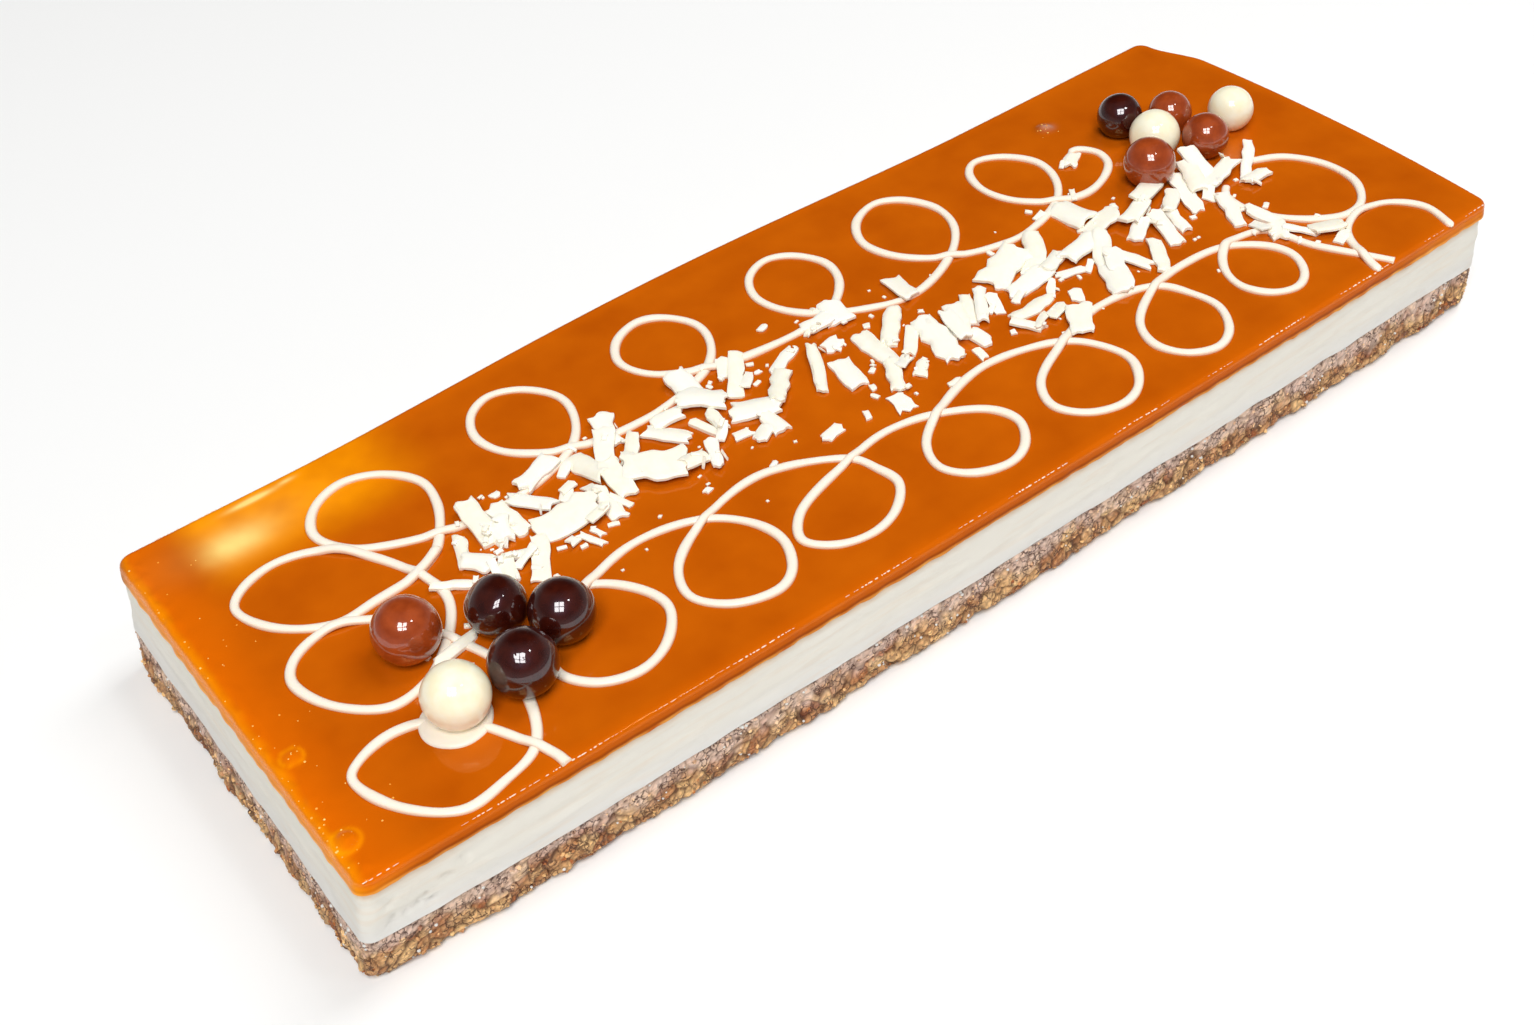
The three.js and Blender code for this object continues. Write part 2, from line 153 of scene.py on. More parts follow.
# ---- The plan of the cake ----


@dataclass(frozen=True)
class CakePlan:
    """The bar's plan and levels, and how the hand-cut bar strays from a true block."""

    base_top: float
    cream_top: float
    glaze_height: float = 4.0
    length: float = 337.0
    width: float = 120.0
    corner_radius: float = 3.5
    front_bow: float = 1.5
    back_spread: float = 2.7
    back_tilt: float = 0.7
    back_swell: float = 3.9
    swell_at: float = -15.0
    swell_reach: float = 110.0
    far_bow: float = 3.2
    near_skew: float = 1.5
    near_lean: float = 5.0
    front_tuck: float = 2.3
    end_reach: float = 34.0
    dent_depth: float = 4.0
    dent_from: float = 40.0
    dent_to: float = 56.0

    @property
    def top(self) -> float:
        """Level of the glaze."""
        return self.cream_top + self.glaze_height

    @property
    def half_length(self) -> float:
        """Half of the block's length."""
        return self.length / 2

    @property
    def half_width(self) -> float:
        """Half of the block's width."""
        return self.width / 2

    @property
    def core_length(self) -> float:
        """How far the corners' centres lie from the middle, along the block."""
        return self.half_length - self.corner_radius

    @property
    def core_width(self) -> float:
        """How far the corners' centres lie from the middle, across the block."""
        return self.half_width - self.corner_radius

    @property
    def perimeter(self) -> float:
        """Length of the outline."""
        return 4 * (self.core_length + self.core_width) + 2 * math.pi * self.corner_radius

    def walk(self, share: float) -> tuple[Vector, Vector]:
        """Walks round the outline, anticlockwise from the middle of the back.

        Args:
            share: How far round to go, from 0 to 1.

        Returns:
            The point of the outline, and the way out of the block there.
        """
        long_side, short_side = 2 * self.core_length, 2 * self.core_width
        quarter = math.pi * self.corner_radius / 2
        left = (share % 1.0) * self.perimeter
        corners = [
            (Vector((-self.core_length, self.core_width)), math.pi / 2, self.core_length),
            (Vector((-self.core_length, -self.core_width)), math.pi, short_side),
            (Vector((self.core_length, -self.core_width)), 3 * math.pi / 2, long_side),
            (Vector((self.core_length, self.core_width)), 2 * math.pi, short_side),
        ]
        for centre, facing, straight in corners:
            out = Vector((math.cos(facing), math.sin(facing)))
            along = Vector((-out.y, out.x))
            if left <= straight:
                return centre + out * self.corner_radius + along * (left - straight), out
            left -= straight
            if left <= quarter:
                angle = facing + left / self.corner_radius
                out = Vector((math.cos(angle), math.sin(angle)))
                return centre + out * self.corner_radius, out
            left -= quarter
        out = Vector((0.0, 1.0))
        return Vector((self.core_length - left, self.half_width)), out

    def edge_distance(self, x: float, y: float) -> tuple[float, Vector]:
        """Measures a point of the plan against the outline.

        Args:
            x: Place along the block.
            y: Place across the block.

        Returns:
            The distance in from the edge, and the way out to it.
        """
        past = Vector((abs(x) - self.core_length, abs(y) - self.core_width))
        if past.x > 0 and past.y > 0:
            out = past.normalized()
            inside = self.corner_radius - past.length
        elif past.x > past.y:
            out = Vector((1.0, 0.0))
            inside = self.corner_radius - past.x
        else:
            out = Vector((0.0, 1.0))
            inside = self.corner_radius - past.y
        return inside, Vector((math.copysign(out.x, x), math.copysign(out.y, y)))

    def warp(self, point: Vector) -> Vector:
        """Moves a point of the true block to where the hand-cut bar has it."""
        x, y, z = point
        along, across = x / self.half_length, y / self.half_width
        depth = 1 - z / self.top
        from_end = self.half_length - self.end_reach
        nearness = smoothstep(-x, from_end, self.half_length)
        farness = smoothstep(x, from_end, self.half_length)
        if across > 0:
            from_swell = min(1.0, abs(x - self.swell_at) / self.swell_reach)
            swell = self.back_swell * (1 - from_swell**2) ** 2
            bow = self.back_spread + self.back_tilt * along + swell
        else:
            bow = self.front_bow * (1 - along**2)
        dent = self.dent_depth * smoothstep(y, self.dent_from, self.dent_to)
        near_shift = self.near_lean * depth - self.near_skew / 2 * across
        far_shift = self.far_bow * (1 - across**2) - dent
        tuck = self.front_tuck * depth * nearness * max(0.0, -across)
        return Vector(
            (x - nearness * near_shift + farness * far_shift, y + across * bow + tuck, z)
        )


@dataclass
class Bench:
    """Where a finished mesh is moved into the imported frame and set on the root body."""

    shift: Vector
    done: list[str] = field(default_factory=list)

    def set_down(
        self,
        bm: bmesh.types.BMesh,
        name: str,
        finish: bpy.types.Material,
        nodes: Sequence[str],
        crease: float = 40.0,
    ) -> bpy.types.Object:
        """Makes an object of a mesh that was built on the cake's plan.

        Args:
            bm: The mesh, in millimetres; it is freed.
            name: The piece's name.
            finish: Its material.
            nodes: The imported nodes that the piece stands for.
            crease: Edges that turn by more degrees than this stay sharp.

        Returns:
            The piece, riding on the root body.
        """
        to_frame = Matrix.Scale(MM, 4) @ Matrix.Translation(self.shift)
        bmesh.ops.transform(bm, matrix=to_frame, verts=bm.verts)
        for face in bm.faces:
            face.smooth = True
        limit = math.radians(crease)
        for edge in bm.edges:
            edge.smooth = edge.calc_face_angle(math.pi) < limit
        mesh = bpy.data.meshes.new(name)
        bm.to_mesh(mesh)
        bm.free()
        mesh.materials.append(finish)
        piece = bpy.data.objects.new(name, mesh)
        bpy.context.scene.collection.objects.link(piece)
        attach(piece, "root")
        if nodes:
            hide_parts(*nodes)
        self.done.append(name)
        triangles = sum(len(polygon.vertices) - 2 for polygon in mesh.polygons)
        log.info("%s: %d triangles", name, triangles)
        return piece


def close_mesh(bm: bmesh.types.BMesh, seam: float = 0.01) -> None:
    """Merges a seam, fills the open loops and turns the faces outwards.

    Args:
        bm: The mesh, in millimetres.
        seam: Points closer than this become one.
    """
    bmesh.ops.remove_doubles(bm, verts=bm.verts, dist=seam)
    open_edges = [edge for edge in bm.edges if edge.is_boundary]
    bmesh.ops.holes_fill(bm, edges=open_edges, sides=0)
    bmesh.ops.recalc_face_normals(bm, faces=bm.faces)


def wall_mesh(
    columns: int,
    rows: int,
    place: Callable[[float, float], tuple[Vector, dict[str, float]]],
    layers: Iterable[str] = (),
) -> bmesh.types.BMesh:
    """Bends a fine grid into a closed wall and fills its top and underside.

    Args:
        columns: Faces round the wall.
        rows: Faces from its foot to its top.
        place: Gives the point, and the values of the layers, for a share round and a share up.
        layers: Names of the values that are kept with each point.

    Returns:
        The closed mesh.
    """
    bm = bmesh.new()
    kept = {name: bm.verts.layers.float.new(name) for name in layers}
    bmesh.ops.create_grid(bm, x_segments=columns, y_segments=rows, size=1.0)
    for vert in bm.verts:
        point, values = place((vert.co.x + 1) / 2, (vert.co.y + 1) / 2)
        vert.co = point
        for name, value in values.items():
            vert[kept[name]] = value
    close_mesh(bm)
    return bm


# ---- Finishes ----

# Sockets of a colour Mix node, which shares their names with its other kinds
SHARE, UNDER, OVER, MIXED = 0, 6, 7, 2

# What the glaze's mesh says of each point, each with a colour that it mixes into the caramel: thin
# caramel, painted glow, a painted highlight at the glow's heart, painted shade down the sides and
# painted glints
GLAZE_LAYERS = ("thin", "painted_glow", "core", "side", "painted_glint")


@dataclass(frozen=True)
class Finish:
    """A surface: the name of its material and the nodes that dress it."""

    name: str

    def dress(self, tree: bpy.types.NodeTree) -> dict[str, Any]:
        """Adds the nodes of this finish.

        Args:
            tree: The new material's nodes.

        Returns:
            A value, or the output of a node, for each socket of the shader that it sets.
        """
        raise NotImplementedError

    def material(self) -> bpy.types.Material:
        """Makes the material, with one Principled shader, dressed."""
        material = bpy.data.materials.new(self.name)
        material.use_nodes = True
        tree = material.node_tree
        tree.nodes.clear()
        shader = add_node(tree, "BsdfPrincipled")
        add_node(tree, "OutputMaterial", links={"Surface": shader})
        for socket, value in self.dress(tree).items():
            if isinstance(value, bpy.types.NodeSocket):
                tree.links.new(value, shader.inputs[socket])
            else:
                shader.inputs[socket].default_value = value
        return material


@dataclass(frozen=True)
class CaramelGlaze(Finish):
    """Poured dulce de leche: wet mirror over deep orange, lighter where it runs thin; painted light
    and shade.
    """

    deep: str = "#ba5303"
    cloud: str = "#e2720a"
    thin: str = "#e06803"
    # glow, core and glint are painted light: a painted glow, the pale painted highlight at its heart
    # and painted glints; side is painted shade, and the droplet's own redder tint
    painted_glow: str = "#ff9a02"
    core: str = "#ffdf82"
    side: str = "#7a3200"
    painted_glint: str = "#ffe6cf"
    shine: str = "#ffe095"
    mottle: float = 17.0
    cloudiness: float = 0.36
    roughness: float = 0.05
    gloss: float = 0.5
    ior: float = 1.47

    def dress(self, tree: bpy.types.NodeTree) -> dict[str, Any]:
        """Clouds the caramel, then mixes in its layers: thin caramel, painted glow, highlights and
        shade.
        """
        coords = add_node(tree, "TexCoord").outputs["Object"]
        mottle = {"Scale": per_metre(self.mottle), "Detail": 3.0}
        clouds = add_node(tree, "TexNoise", mottle, {"Vector": coords})
        spread = {"From Min": 0.3, "From Max": 0.7, "To Min": 0.0, "To Max": self.cloudiness}
        cloudy = add_node(tree, "MapRange", spread, {"Value": clouds})
        shades = {"data_type": "RGBA", UNDER: linear(self.deep), OVER: linear(self.cloud)}
        body = add_node(tree, "Mix", shades, {SHARE: cloudy})
        for layer in GLAZE_LAYERS:
            share = add_node(tree, "Attribute", {"attribute_name": layer}).outputs["Fac"]
            colour = {"data_type": "RGBA", OVER: linear(getattr(self, layer))}
            body = add_node(tree, "Mix", colour, {SHARE: share, UNDER: body.outputs[MIXED]})
        return {
            "Base Color": body.outputs[MIXED],
            "Roughness": self.roughness,
            "IOR": self.ior,
            "Specular IOR Level": self.gloss,
            "Specular Tint": linear(self.shine),
        }


@dataclass(frozen=True)
class CreamCheese(Finish):
    """Set cream cheese, cut with a wet knife: pale, faintly streaked, stained by the glaze."""

    pale: str = "#e5e1d6"
    low: str = "#dddbd6"
    stain: str = "#dca455"
    floor: float = 14.0
    low_band: float = 6.0
    ceiling: float = 29.0
    stain_band: float = 3.4
    streak_length: float = 14.0
    streak_height: float = 1.6
    run_width: float = 5.0
    ripple: float = 0.3
    roughness: float = 0.45
    ior: float = 1.45

    def dress(self, tree: bpy.types.NodeTree) -> dict[str, Any]:
        """Runs faint streaks along the sides, and amber stains down from the top edge."""
        coords = add_node(tree, "TexCoord").outputs["Object"]
        height = add_node(tree, "SeparateXYZ", links={0: coords}).outputs["Z"]
        along = per_metre(self.streak_length)
        stretch = {"Scale": (along, along, per_metre(self.streak_height))}
        stretched = add_node(tree, "Mapping", stretch, {"Vector": coords})
        streaks = add_node(tree, "TexNoise", {"Scale": 1.0, "Detail": 5.0}, {"Vector": stretched})
        band = {"From Min": self.floor * MM, "From Max": (self.floor + self.low_band) * MM}
        rise = add_node(tree, "MapRange", band, {"Value": height})
        creams = {"data_type": "RGBA", UNDER: linear(self.low), OVER: linear(self.pale)}
        body = add_node(tree, "Mix", creams, {SHARE: rise})
        faint = {"From Min": 0.5, "From Max": 0.8, "To Min": 0.0, "To Max": 0.16}
        veins = add_node(tree, "MapRange", faint, {"Value": streaks})
        amber = {"data_type": "RGBA", OVER: linear(self.stain)}
        body = add_node(tree, "Mix", amber, {SHARE: veins, UNDER: body.outputs[MIXED]})
        band = {"From Min": (self.ceiling - self.stain_band) * MM, "From Max": self.ceiling * MM}
        near_top = add_node(tree, "MapRange", band, {"Value": height})
        width = {"Scale": per_metre(self.run_width), "Detail": 3.0}
        runs = add_node(tree, "TexNoise", width, {"Vector": coords})
        strong = {"From Min": 0.4, "From Max": 0.66, "To Min": 0.5, "To Max": 1.0}
        soaked = add_node(tree, "MapRange", strong, {"Value": runs})
        seep = add_node(tree, "Math", {"operation": "POWER", 1: 1.6}, {0: near_top})
        stained = add_node(tree, "Math", {"operation": "MULTIPLY"}, {0: seep, 1: soaked})
        body = add_node(tree, "Mix", amber, {SHARE: stained, UNDER: body.outputs[MIXED]})
        shallow = {"Strength": 0.25, "Distance": self.ripple * MM}
        relief = add_node(tree, "Bump", shallow, {"Height": streaks})
        return {
            "Base Color": body.outputs[MIXED],
            "Normal": relief.outputs[0],
            "Roughness": self.roughness,
            "IOR": self.ior,
        }


@dataclass(frozen=True)
class BiscuitCrumb(Finish):
    """Pressed biscuit and butter: golden nuggets, painted shade in the gaps, a milky film over the
    upper half.
    """

    toasted: str = "#ac5f2c"
    golden: str = "#ffd190"
    film: str = "#efd3c3"
    painted_gap_shade: str = "#3c170c"
    grain: float = 0.5
    grain_share: float = 0.55
    grain_height: float = 0.25
    crack_bend: float = 0.0009
    crack_spacing: float = 1.7
    crack_width: float = 0.2
    patch: float = 3.2
    roughness: float = 0.6
    ior: float = 1.45

    def dress(self, tree: bpy.types.NodeTree) -> dict[str, Any]:
        """Mixes toasted and golden by the layer tone, then the film, then painted shade in gaps and
        cracks.
        """
        coords = add_node(tree, "TexCoord").outputs["Object"]
        tone, film, painted_gap_shade = (
            add_node(tree, "Attribute", {"attribute_name": name}).outputs["Fac"]
            for name in ("tone", "film", "painted_gap_shade")
        )
        fine = {"Scale": per_metre(self.grain), "Detail": 4.0}
        grains = add_node(tree, "TexNoise", fine, {"Vector": coords})
        share = {"operation": "MULTIPLY_ADD", 1: self.grain_share}
        mixed = add_node(tree, "Math", share, {0: grains, 2: tone})
        spread = {"From Min": 0.3, "From Max": 1.1}
        baked = add_node(tree, "MapRange", spread, {"Value": mixed})
        bakes = {"data_type": "RGBA", UNDER: linear(self.toasted), OVER: linear(self.golden)}
        body = add_node(tree, "Mix", bakes, {SHARE: baked})
        milky = {"data_type": "RGBA", OVER: linear(self.film)}
        body = add_node(tree, "Mix", milky, {SHARE: film, UNDER: body.outputs[MIXED]})
        # Painted shade in a net of thin cracks, shown in patches, and in the gaps and pits of the
        # mesh
        bend = {"data_type": "VECTOR", 0: self.crack_bend}
        bent = add_node(tree, "Mix", bend, {4: coords, 5: grains.outputs[1]})
        cells = {"feature": "DISTANCE_TO_EDGE", "Scale": per_metre(self.crack_spacing)}
        cracks = add_node(tree, "TexVoronoi", cells, {"Vector": bent.outputs[1]})
        width = self.crack_width / self.crack_spacing
        narrow = {"From Min": 0.3 * width, "From Max": width, "To Min": 0.9, "To Max": 0.0}
        crack = add_node(tree, "MapRange", narrow, {"Value": cracks})
        wide = {"Scale": per_metre(self.patch), "Detail": 2.0}
        patches = add_node(tree, "TexNoise", wide, {"Vector": coords})
        some = {"From Min": 0.41, "From Max": 0.54}
        shown = add_node(tree, "MapRange", some, {"Value": patches})
        partial = add_node(tree, "Math", {"operation": "MULTIPLY"}, {0: crack, 1: shown})
        dark = add_node(tree, "Math", {"operation": "MAXIMUM"}, {0: painted_gap_shade, 1: partial})
        deep = {"data_type": "RGBA", OVER: linear(self.painted_gap_shade)}
        body = add_node(tree, "Mix", deep, {SHARE: dark, UNDER: body.outputs[MIXED]})
        gritty = {"Strength": 0.6, "Distance": self.grain_height * MM}
        relief = add_node(tree, "Bump", gritty, {"Height": grains})
        return {
            "Base Color": body.outputs[MIXED],
            "Normal": relief.outputs[0],
            "Roughness": self.roughness,
            "IOR": self.ior,
        }


@dataclass(frozen=True)
class PolishedChocolate(Finish):
    """A panned ball, tumbled and glazed: an even coat with a lacquer shine."""

    body: str = "#a6471c"
    shade: str = "#8f3914"
    bloom: float = 3.5
    relief: float = 0.2
    roughness: float = 0.32
    sheen: float = 0.14
    halo: str = "#ffe6dc"
    lacquer: float = 0.9
    lacquer_roughness: float = 0.045
    lacquer_ior: float = 1.75
    ior: float = 1.47

    def dress(self, tree: bpy.types.NodeTree) -> dict[str, Any]:
        """Clouds the coat a little, and lays the lacquer over it."""
        coords = add_node(tree, "TexCoord").outputs["Object"]
        bloom = {"Scale": per_metre(self.bloom), "Detail": 4.0}
        clouds = add_node(tree, "TexNoise", bloom, {"Vector": coords})
        spread = {"From Min": 0.35, "From Max": 0.65}
        share = add_node(tree, "MapRange", spread, {"Value": clouds})
        coat = {"data_type": "RGBA", UNDER: linear(self.body), OVER: linear(self.shade)}
        body = add_node(tree, "Mix", coat, {SHARE: share})
        faint = {"Strength": 0.12, "Distance": self.relief * MM}
        relief = add_node(tree, "Bump", faint, {"Height": clouds})
        return {
            "Base Color": body.outputs[MIXED],
            "Normal": relief.outputs[0],
            "Roughness": self.roughness,
            "IOR": self.ior,
            "Specular IOR Level": self.sheen,
            "Specular Tint": linear(self.halo),
            "Coat Weight": self.lacquer,
            "Coat Roughness": self.lacquer_roughness,
            "Coat IOR": self.lacquer_ior,
        }


@dataclass(frozen=True)
class WhiteChocolate(Finish):
    """Set white chocolate: ivory and a little translucent, satin where it was piped."""

    ivory: str = "#fbf0df"
    butter: str = "#f4e6c4"
    # A pinkish colour on the drizzle's low edges: partly translucency over the caramel, partly
    # painted shade and painted orange bounce light
    sheer_and_painted_shade: str = "#efc6a6"
    cloud: float = 2.2
    relief: float = 0.2
    roughness: float = 0.35
    translucence: float = 0.15
    depth: float = 0.8
    ior: float = 1.46

    def dress(self, tree: bpy.types.NodeTree) -> dict[str, Any]:
        """Varies ivory and butter by the layer tone; thin edges let the caramel through and carry
        painted shade and bounce light.
        """
        coords = add_node(tree, "TexCoord").outputs["Object"]
        tone = add_node(tree, "Attribute", {"attribute_name": "tone"}).outputs["Fac"]
        cloud = {"Scale": per_metre(self.cloud), "Detail": 4.0}
        clouds = add_node(tree, "TexNoise", cloud, {"Vector": coords})
        share = add_node(tree, "Math", {"operation": "MULTIPLY"}, {0: tone, 1: clouds})
        tints = {"data_type": "RGBA", UNDER: linear(self.ivory), OVER: linear(self.butter)}
        body = add_node(tree, "Mix", tints, {SHARE: share})
        edge = add_node(tree, "Attribute", {"attribute_name": "sheer_and_painted_shade"}).outputs["Fac"]
        through = {"data_type": "RGBA", OVER: linear(self.sheer_and_painted_shade)}
        body = add_node(tree, "Mix", through, {SHARE: edge, UNDER: body.outputs[MIXED]})
        faint = {"Strength": 0.08, "Distance": self.relief * MM}
        relief = add_node(tree, "Bump", faint, {"Height": clouds})
        return {
            "Base Color": body.outputs[MIXED],
            "Normal": relief.outputs[0],
            "Roughness": self.roughness,
            "IOR": self.ior,
            "Subsurface Weight": self.translucence,
            "Subsurface Radius": (1.0, 0.8, 0.5),
            "Subsurface Scale": self.depth * MM,
        }


@dataclass(frozen=True)
class StudioPaper(Finish):
    """Matt white background paper."""

    colour: str = "#f7f7f6"
    roughness: float = 0.9
    gloss: float = 0.1

    def dress(self, tree: bpy.types.NodeTree) -> dict[str, Any]:
        """Leaves the paper plain."""
        return {
            "Base Color": linear(self.colour),
            "Roughness": self.roughness,
            "Specular IOR Level": self.gloss,
        }


# ---- The three layers of the bar ----


@dataclass
class CrumbBase:
    """The biscuit crumb base: a wall of pressed nuggets, chips that stand out, beads of cream and
    painted glints.
    """

    plan: CakePlan
    step: float = 0.38
    mean_inset: float = 1.5
    crag_size: float = 13.0
    crag_depth: float = 0.8
    nuggets: tuple[tuple[float, float], ...] = ((3.9, 0.85), (1.7, 0.32))
    crack_width: float = 0.3
    least_inset: float = 0.25
    film_band: tuple[float, float] = (0.38, 0.84)
    film_level: float = 0.75
    pit_size: tuple[float, float] = (1.5, 0.9)
    pit_rim: tuple[float, float] = (0.22, 0.44)
    pit_luck: tuple[float, float] = (-0.3, 0.05)
    pit_depth: float = 0.5
    foot_inset: float = 1.8
    foot_share: float = 0.16
    head_inset: float = 0.7
    head_share: float = 0.86
    chip_count: int = 1500
    chip_radius: tuple[float, float] = (0.35, 1.0)
    chip_jag: float = 0.35
    chip_sunk: float = 0.35
    lowest_chip: float = 0.07
    bead_count: int = 640
    bead_radius: tuple[float, float] = (0.18, 0.48)
    bead_cluster: float = 8.0
    batch_size: int = 60

    def _nugget(self, stirred: Vector, size: float, height: float) -> tuple[float, float, float]:
        """Works out one size of nugget at a point: flat faces that lean each their own way.

        Args:
            stirred: The point, a little displaced.
            size: How wide the nuggets are.
            height: How far they stand out.

        Returns:
            How far the nugget stands out, its tone, and how deep the point lies in a crack.
        """
        distances, centres = noise.voronoi(stirred / size)
        border = (distances[1] - distances[0]) * size / 2
        crack = 1 - smoothstep(border, 0.0, self.crack_width * (0.5 + size / 6))
        own = 0.5 + 0.5 * noise.cell(centres[0] * 9.1)
        lean = noise.cell_vector(centres[0] * 5.3 + Vector((4, 9, 2))) - Vector((0.5, 0.5, 0.5))
        facet = (stirred / size - centres[0]).dot(lean) * 0.9
        return height * (0.35 + 0.5 * own + facet - 0.45 * crack), own, crack

    def _relief(self, at: Vector, share: float) -> tuple[float, dict[str, float]]:
        """Works out the crags at a point of the wall.

        Args:
            at: The point, in millimetres.
            share: Its share of the base's height.

        Returns:
            How far the wall stands out there, and the layers of its finish.
        """
        wavering = noise.noise(at / 7) * 0.3 + noise.noise(at / 2.1) * 0.16
        film = smoothstep(share + wavering, *self.film_band)
        crags = noise.fractal(at / self.crag_size, 0.7, 2.0, 3) * self.crag_depth
        stirred = at + noise.noise_vector(at / 2.6) * 0.7
        rise, painted_gap_shade, tone = 0.0, 0.0, 0.0
        for size, height in self.nuggets:
            stands_out, own, crack = self._nugget(stirred, size, height)
            rise += stands_out
            tone += own * height
            painted_gap_shade = max(painted_gap_shade, crack * min(0.9, height + 0.2))
        rise = blend(rise, self.film_level, 0.6 * film)
        painted_gap_shade *= 1 - 0.4 * film
        wide, high = self.pit_size
        drawn = Vector((at.x / wide, at.y / wide, at.z / high))
        pit, _ = noise.voronoi(drawn + noise.noise_vector(at / 1.3) * 0.5)
        pitted = (1 - smoothstep(pit[0], *self.pit_rim)) * (0.45 + 0.55 * film)
        lucky = noise.noise(at / 3.4 + Vector((31, 17, 9)))
        pitted *= smoothstep(lucky, *self.pit_luck)
        rise -= self.pit_depth * pitted
        # The gaps and pits between nuggets get painted shade
        values = {
            "tone": tone / 1.4,
            "film": film * (0.8 + 0.2 * noise.noise(at / 1.4)),
            "painted_gap_shade": min(1.0, max(painted_gap_shade, pitted)),
        }
        return crags + rise, values

    def _profile(self, share: float, at: Vector) -> float:
        """Returns how far the wall draws in near its foot and its top edge."""
        ragged = 1 + 0.8 * noise.noise(Vector((at.x, at.y, 0)) / 3.1)
        foot = self.foot_inset * ragged * (1 - smoothstep(share, 0.0, self.foot_share))
        head = self.head_inset * smoothstep(share, self.head_share, 1.0)
        return foot + head

    def place(self, round_share: float, up_share: float) -> tuple[Vector, dict[str, float]]:
        """Places one point of the wall."""
        edge, out = self.plan.walk(round_share)
        z = up_share * self.plan.base_top
        at = Vector((edge.x, edge.y, z))
        stands_out, values = self._relief(at, up_share)
        held = smoothstep(up_share, 0.0, 0.05)
        inset = self.mean_inset + self._profile(up_share, at) - stands_out * held
        inset = max(self.least_inset, inset)
        point = Vector((edge.x - out.x * inset, edge.y - out.y * inset, z))
        return self.plan.warp(point), values

    def build_wall(self, bench: Bench, finish: bpy.types.Material) -> None:
        """Builds the craggy wall with its top and underside."""
        columns = round(self.plan.perimeter / self.step)
        rows = round(self.plan.base_top / self.step)
        bm = wall_mesh(columns, rows, self.place, ("tone", "film", "painted_gap_shade"))
        bench.set_down(bm, "crumb_wall", finish, ["crumb_base"], crease=65)

    def _chip(self, bm: bmesh.types.BMesh, draw: random.Random) -> None:
        """Adds one angular chip of biscuit, more likely low on the wall."""
        radius = blend(*self.chip_radius, draw.random() ** 2.6)
        share, up = draw.random(), max(self.lowest_chip, draw.random() ** 1.4 * 0.97)
        point, values = self.place(share, up)
        size = Vector((draw.uniform(0.7, 1.2), draw.uniform(0.7, 1.2), draw.uniform(0.5, 0.9)))
        turn = Matrix.Rotation(draw.uniform(0, math.pi), 4, draw.choice("XYZ"))
        inward = Vector((point.x / self.plan.half_length, point.y / self.plan.half_width, 0))
        point -= inward.normalized() * radius * self.chip_sunk
        point.z = max(point.z, radius * 0.8)
        matrix = Matrix.Translation(point) @ turn @ Matrix.Diagonal((*(size * radius), 1))
        made = bmesh.ops.create_icosphere(bm, subdivisions=1, radius=1, matrix=matrix)
        tone, film = draw.random(), values["film"] * draw.uniform(0.4, 1.0)
        for vert in made["verts"]:
            vert.co += noise.noise_vector(vert.co / (0.7 * radius)) * self.chip_jag * radius
            vert.co.z = max(vert.co.z, 0.02)
            vert[bm.verts.layers.float["tone"]] = tone
            vert[bm.verts.layers.float["film"]] = film

    def _bead(self, bm: bmesh.types.BMesh, draw: random.Random) -> None:
        """Adds one bead of cream, where they gather, or none where they don't."""
        radius = draw.uniform(*self.bead_radius)
        point, _ = self.place(draw.random(), draw.uniform(0.12, 0.92))
        if noise.noise(point / self.bead_cluster) > 0.02:
            matrix = Matrix.Translation(point) @ Matrix.Diagonal((radius, radius, radius * 0.8, 1))
            bmesh.ops.create_icosphere(bm, subdivisions=2, radius=1, matrix=matrix)

    def _scatter(
        self, count: int, add: Callable[[bmesh.types.BMesh, random.Random], None], seed: int
    ) -> bmesh.types.BMesh:
        """Adds many small things batch by batch, which keeps each mesh operator quick.

        Args:
            count: How many things.
            add: Adds one of them.
            seed: Where the random draw starts.

        Returns:
            One mesh with all of them.
        """
        draw = random.Random(seed)
        whole = bmesh.new()
        for start in range(0, count, self.batch_size):
            bm = bmesh.new()
            for name in ("tone", "film", "painted_gap_shade"):
                bm.verts.layers.float.new(name)
            for _ in range(min(self.batch_size, count - start)):
                add(bm, draw)
            batch = bpy.data.meshes.new("batch")
            bm.to_mesh(batch)
            bm.free()
            whole.from_mesh(batch)
            bpy.data.meshes.remove(batch)
        return whole

    def build_chips(self, bench: Bench, finish: bpy.types.Material) -> None:
        """Builds the chips that stand out of the wall, most of them in its lower half."""
        bm = self._scatter(self.chip_count, self._chip, SEED)
        bench.set_down(bm, "crumb_nuggets", finish, [], crease=25)

    def build_beads(self, bench: Bench, finish: bpy.types.Material) -> None:
        """Builds the small beads of cream pressed out between the crumbs; their white also stands
        for painted glints.
        """
        bm = self._scatter(self.bead_count, self._bead, SEED + 5)
        bench.set_down(bm, "cream_beads_and_painted_glints", finish, [])


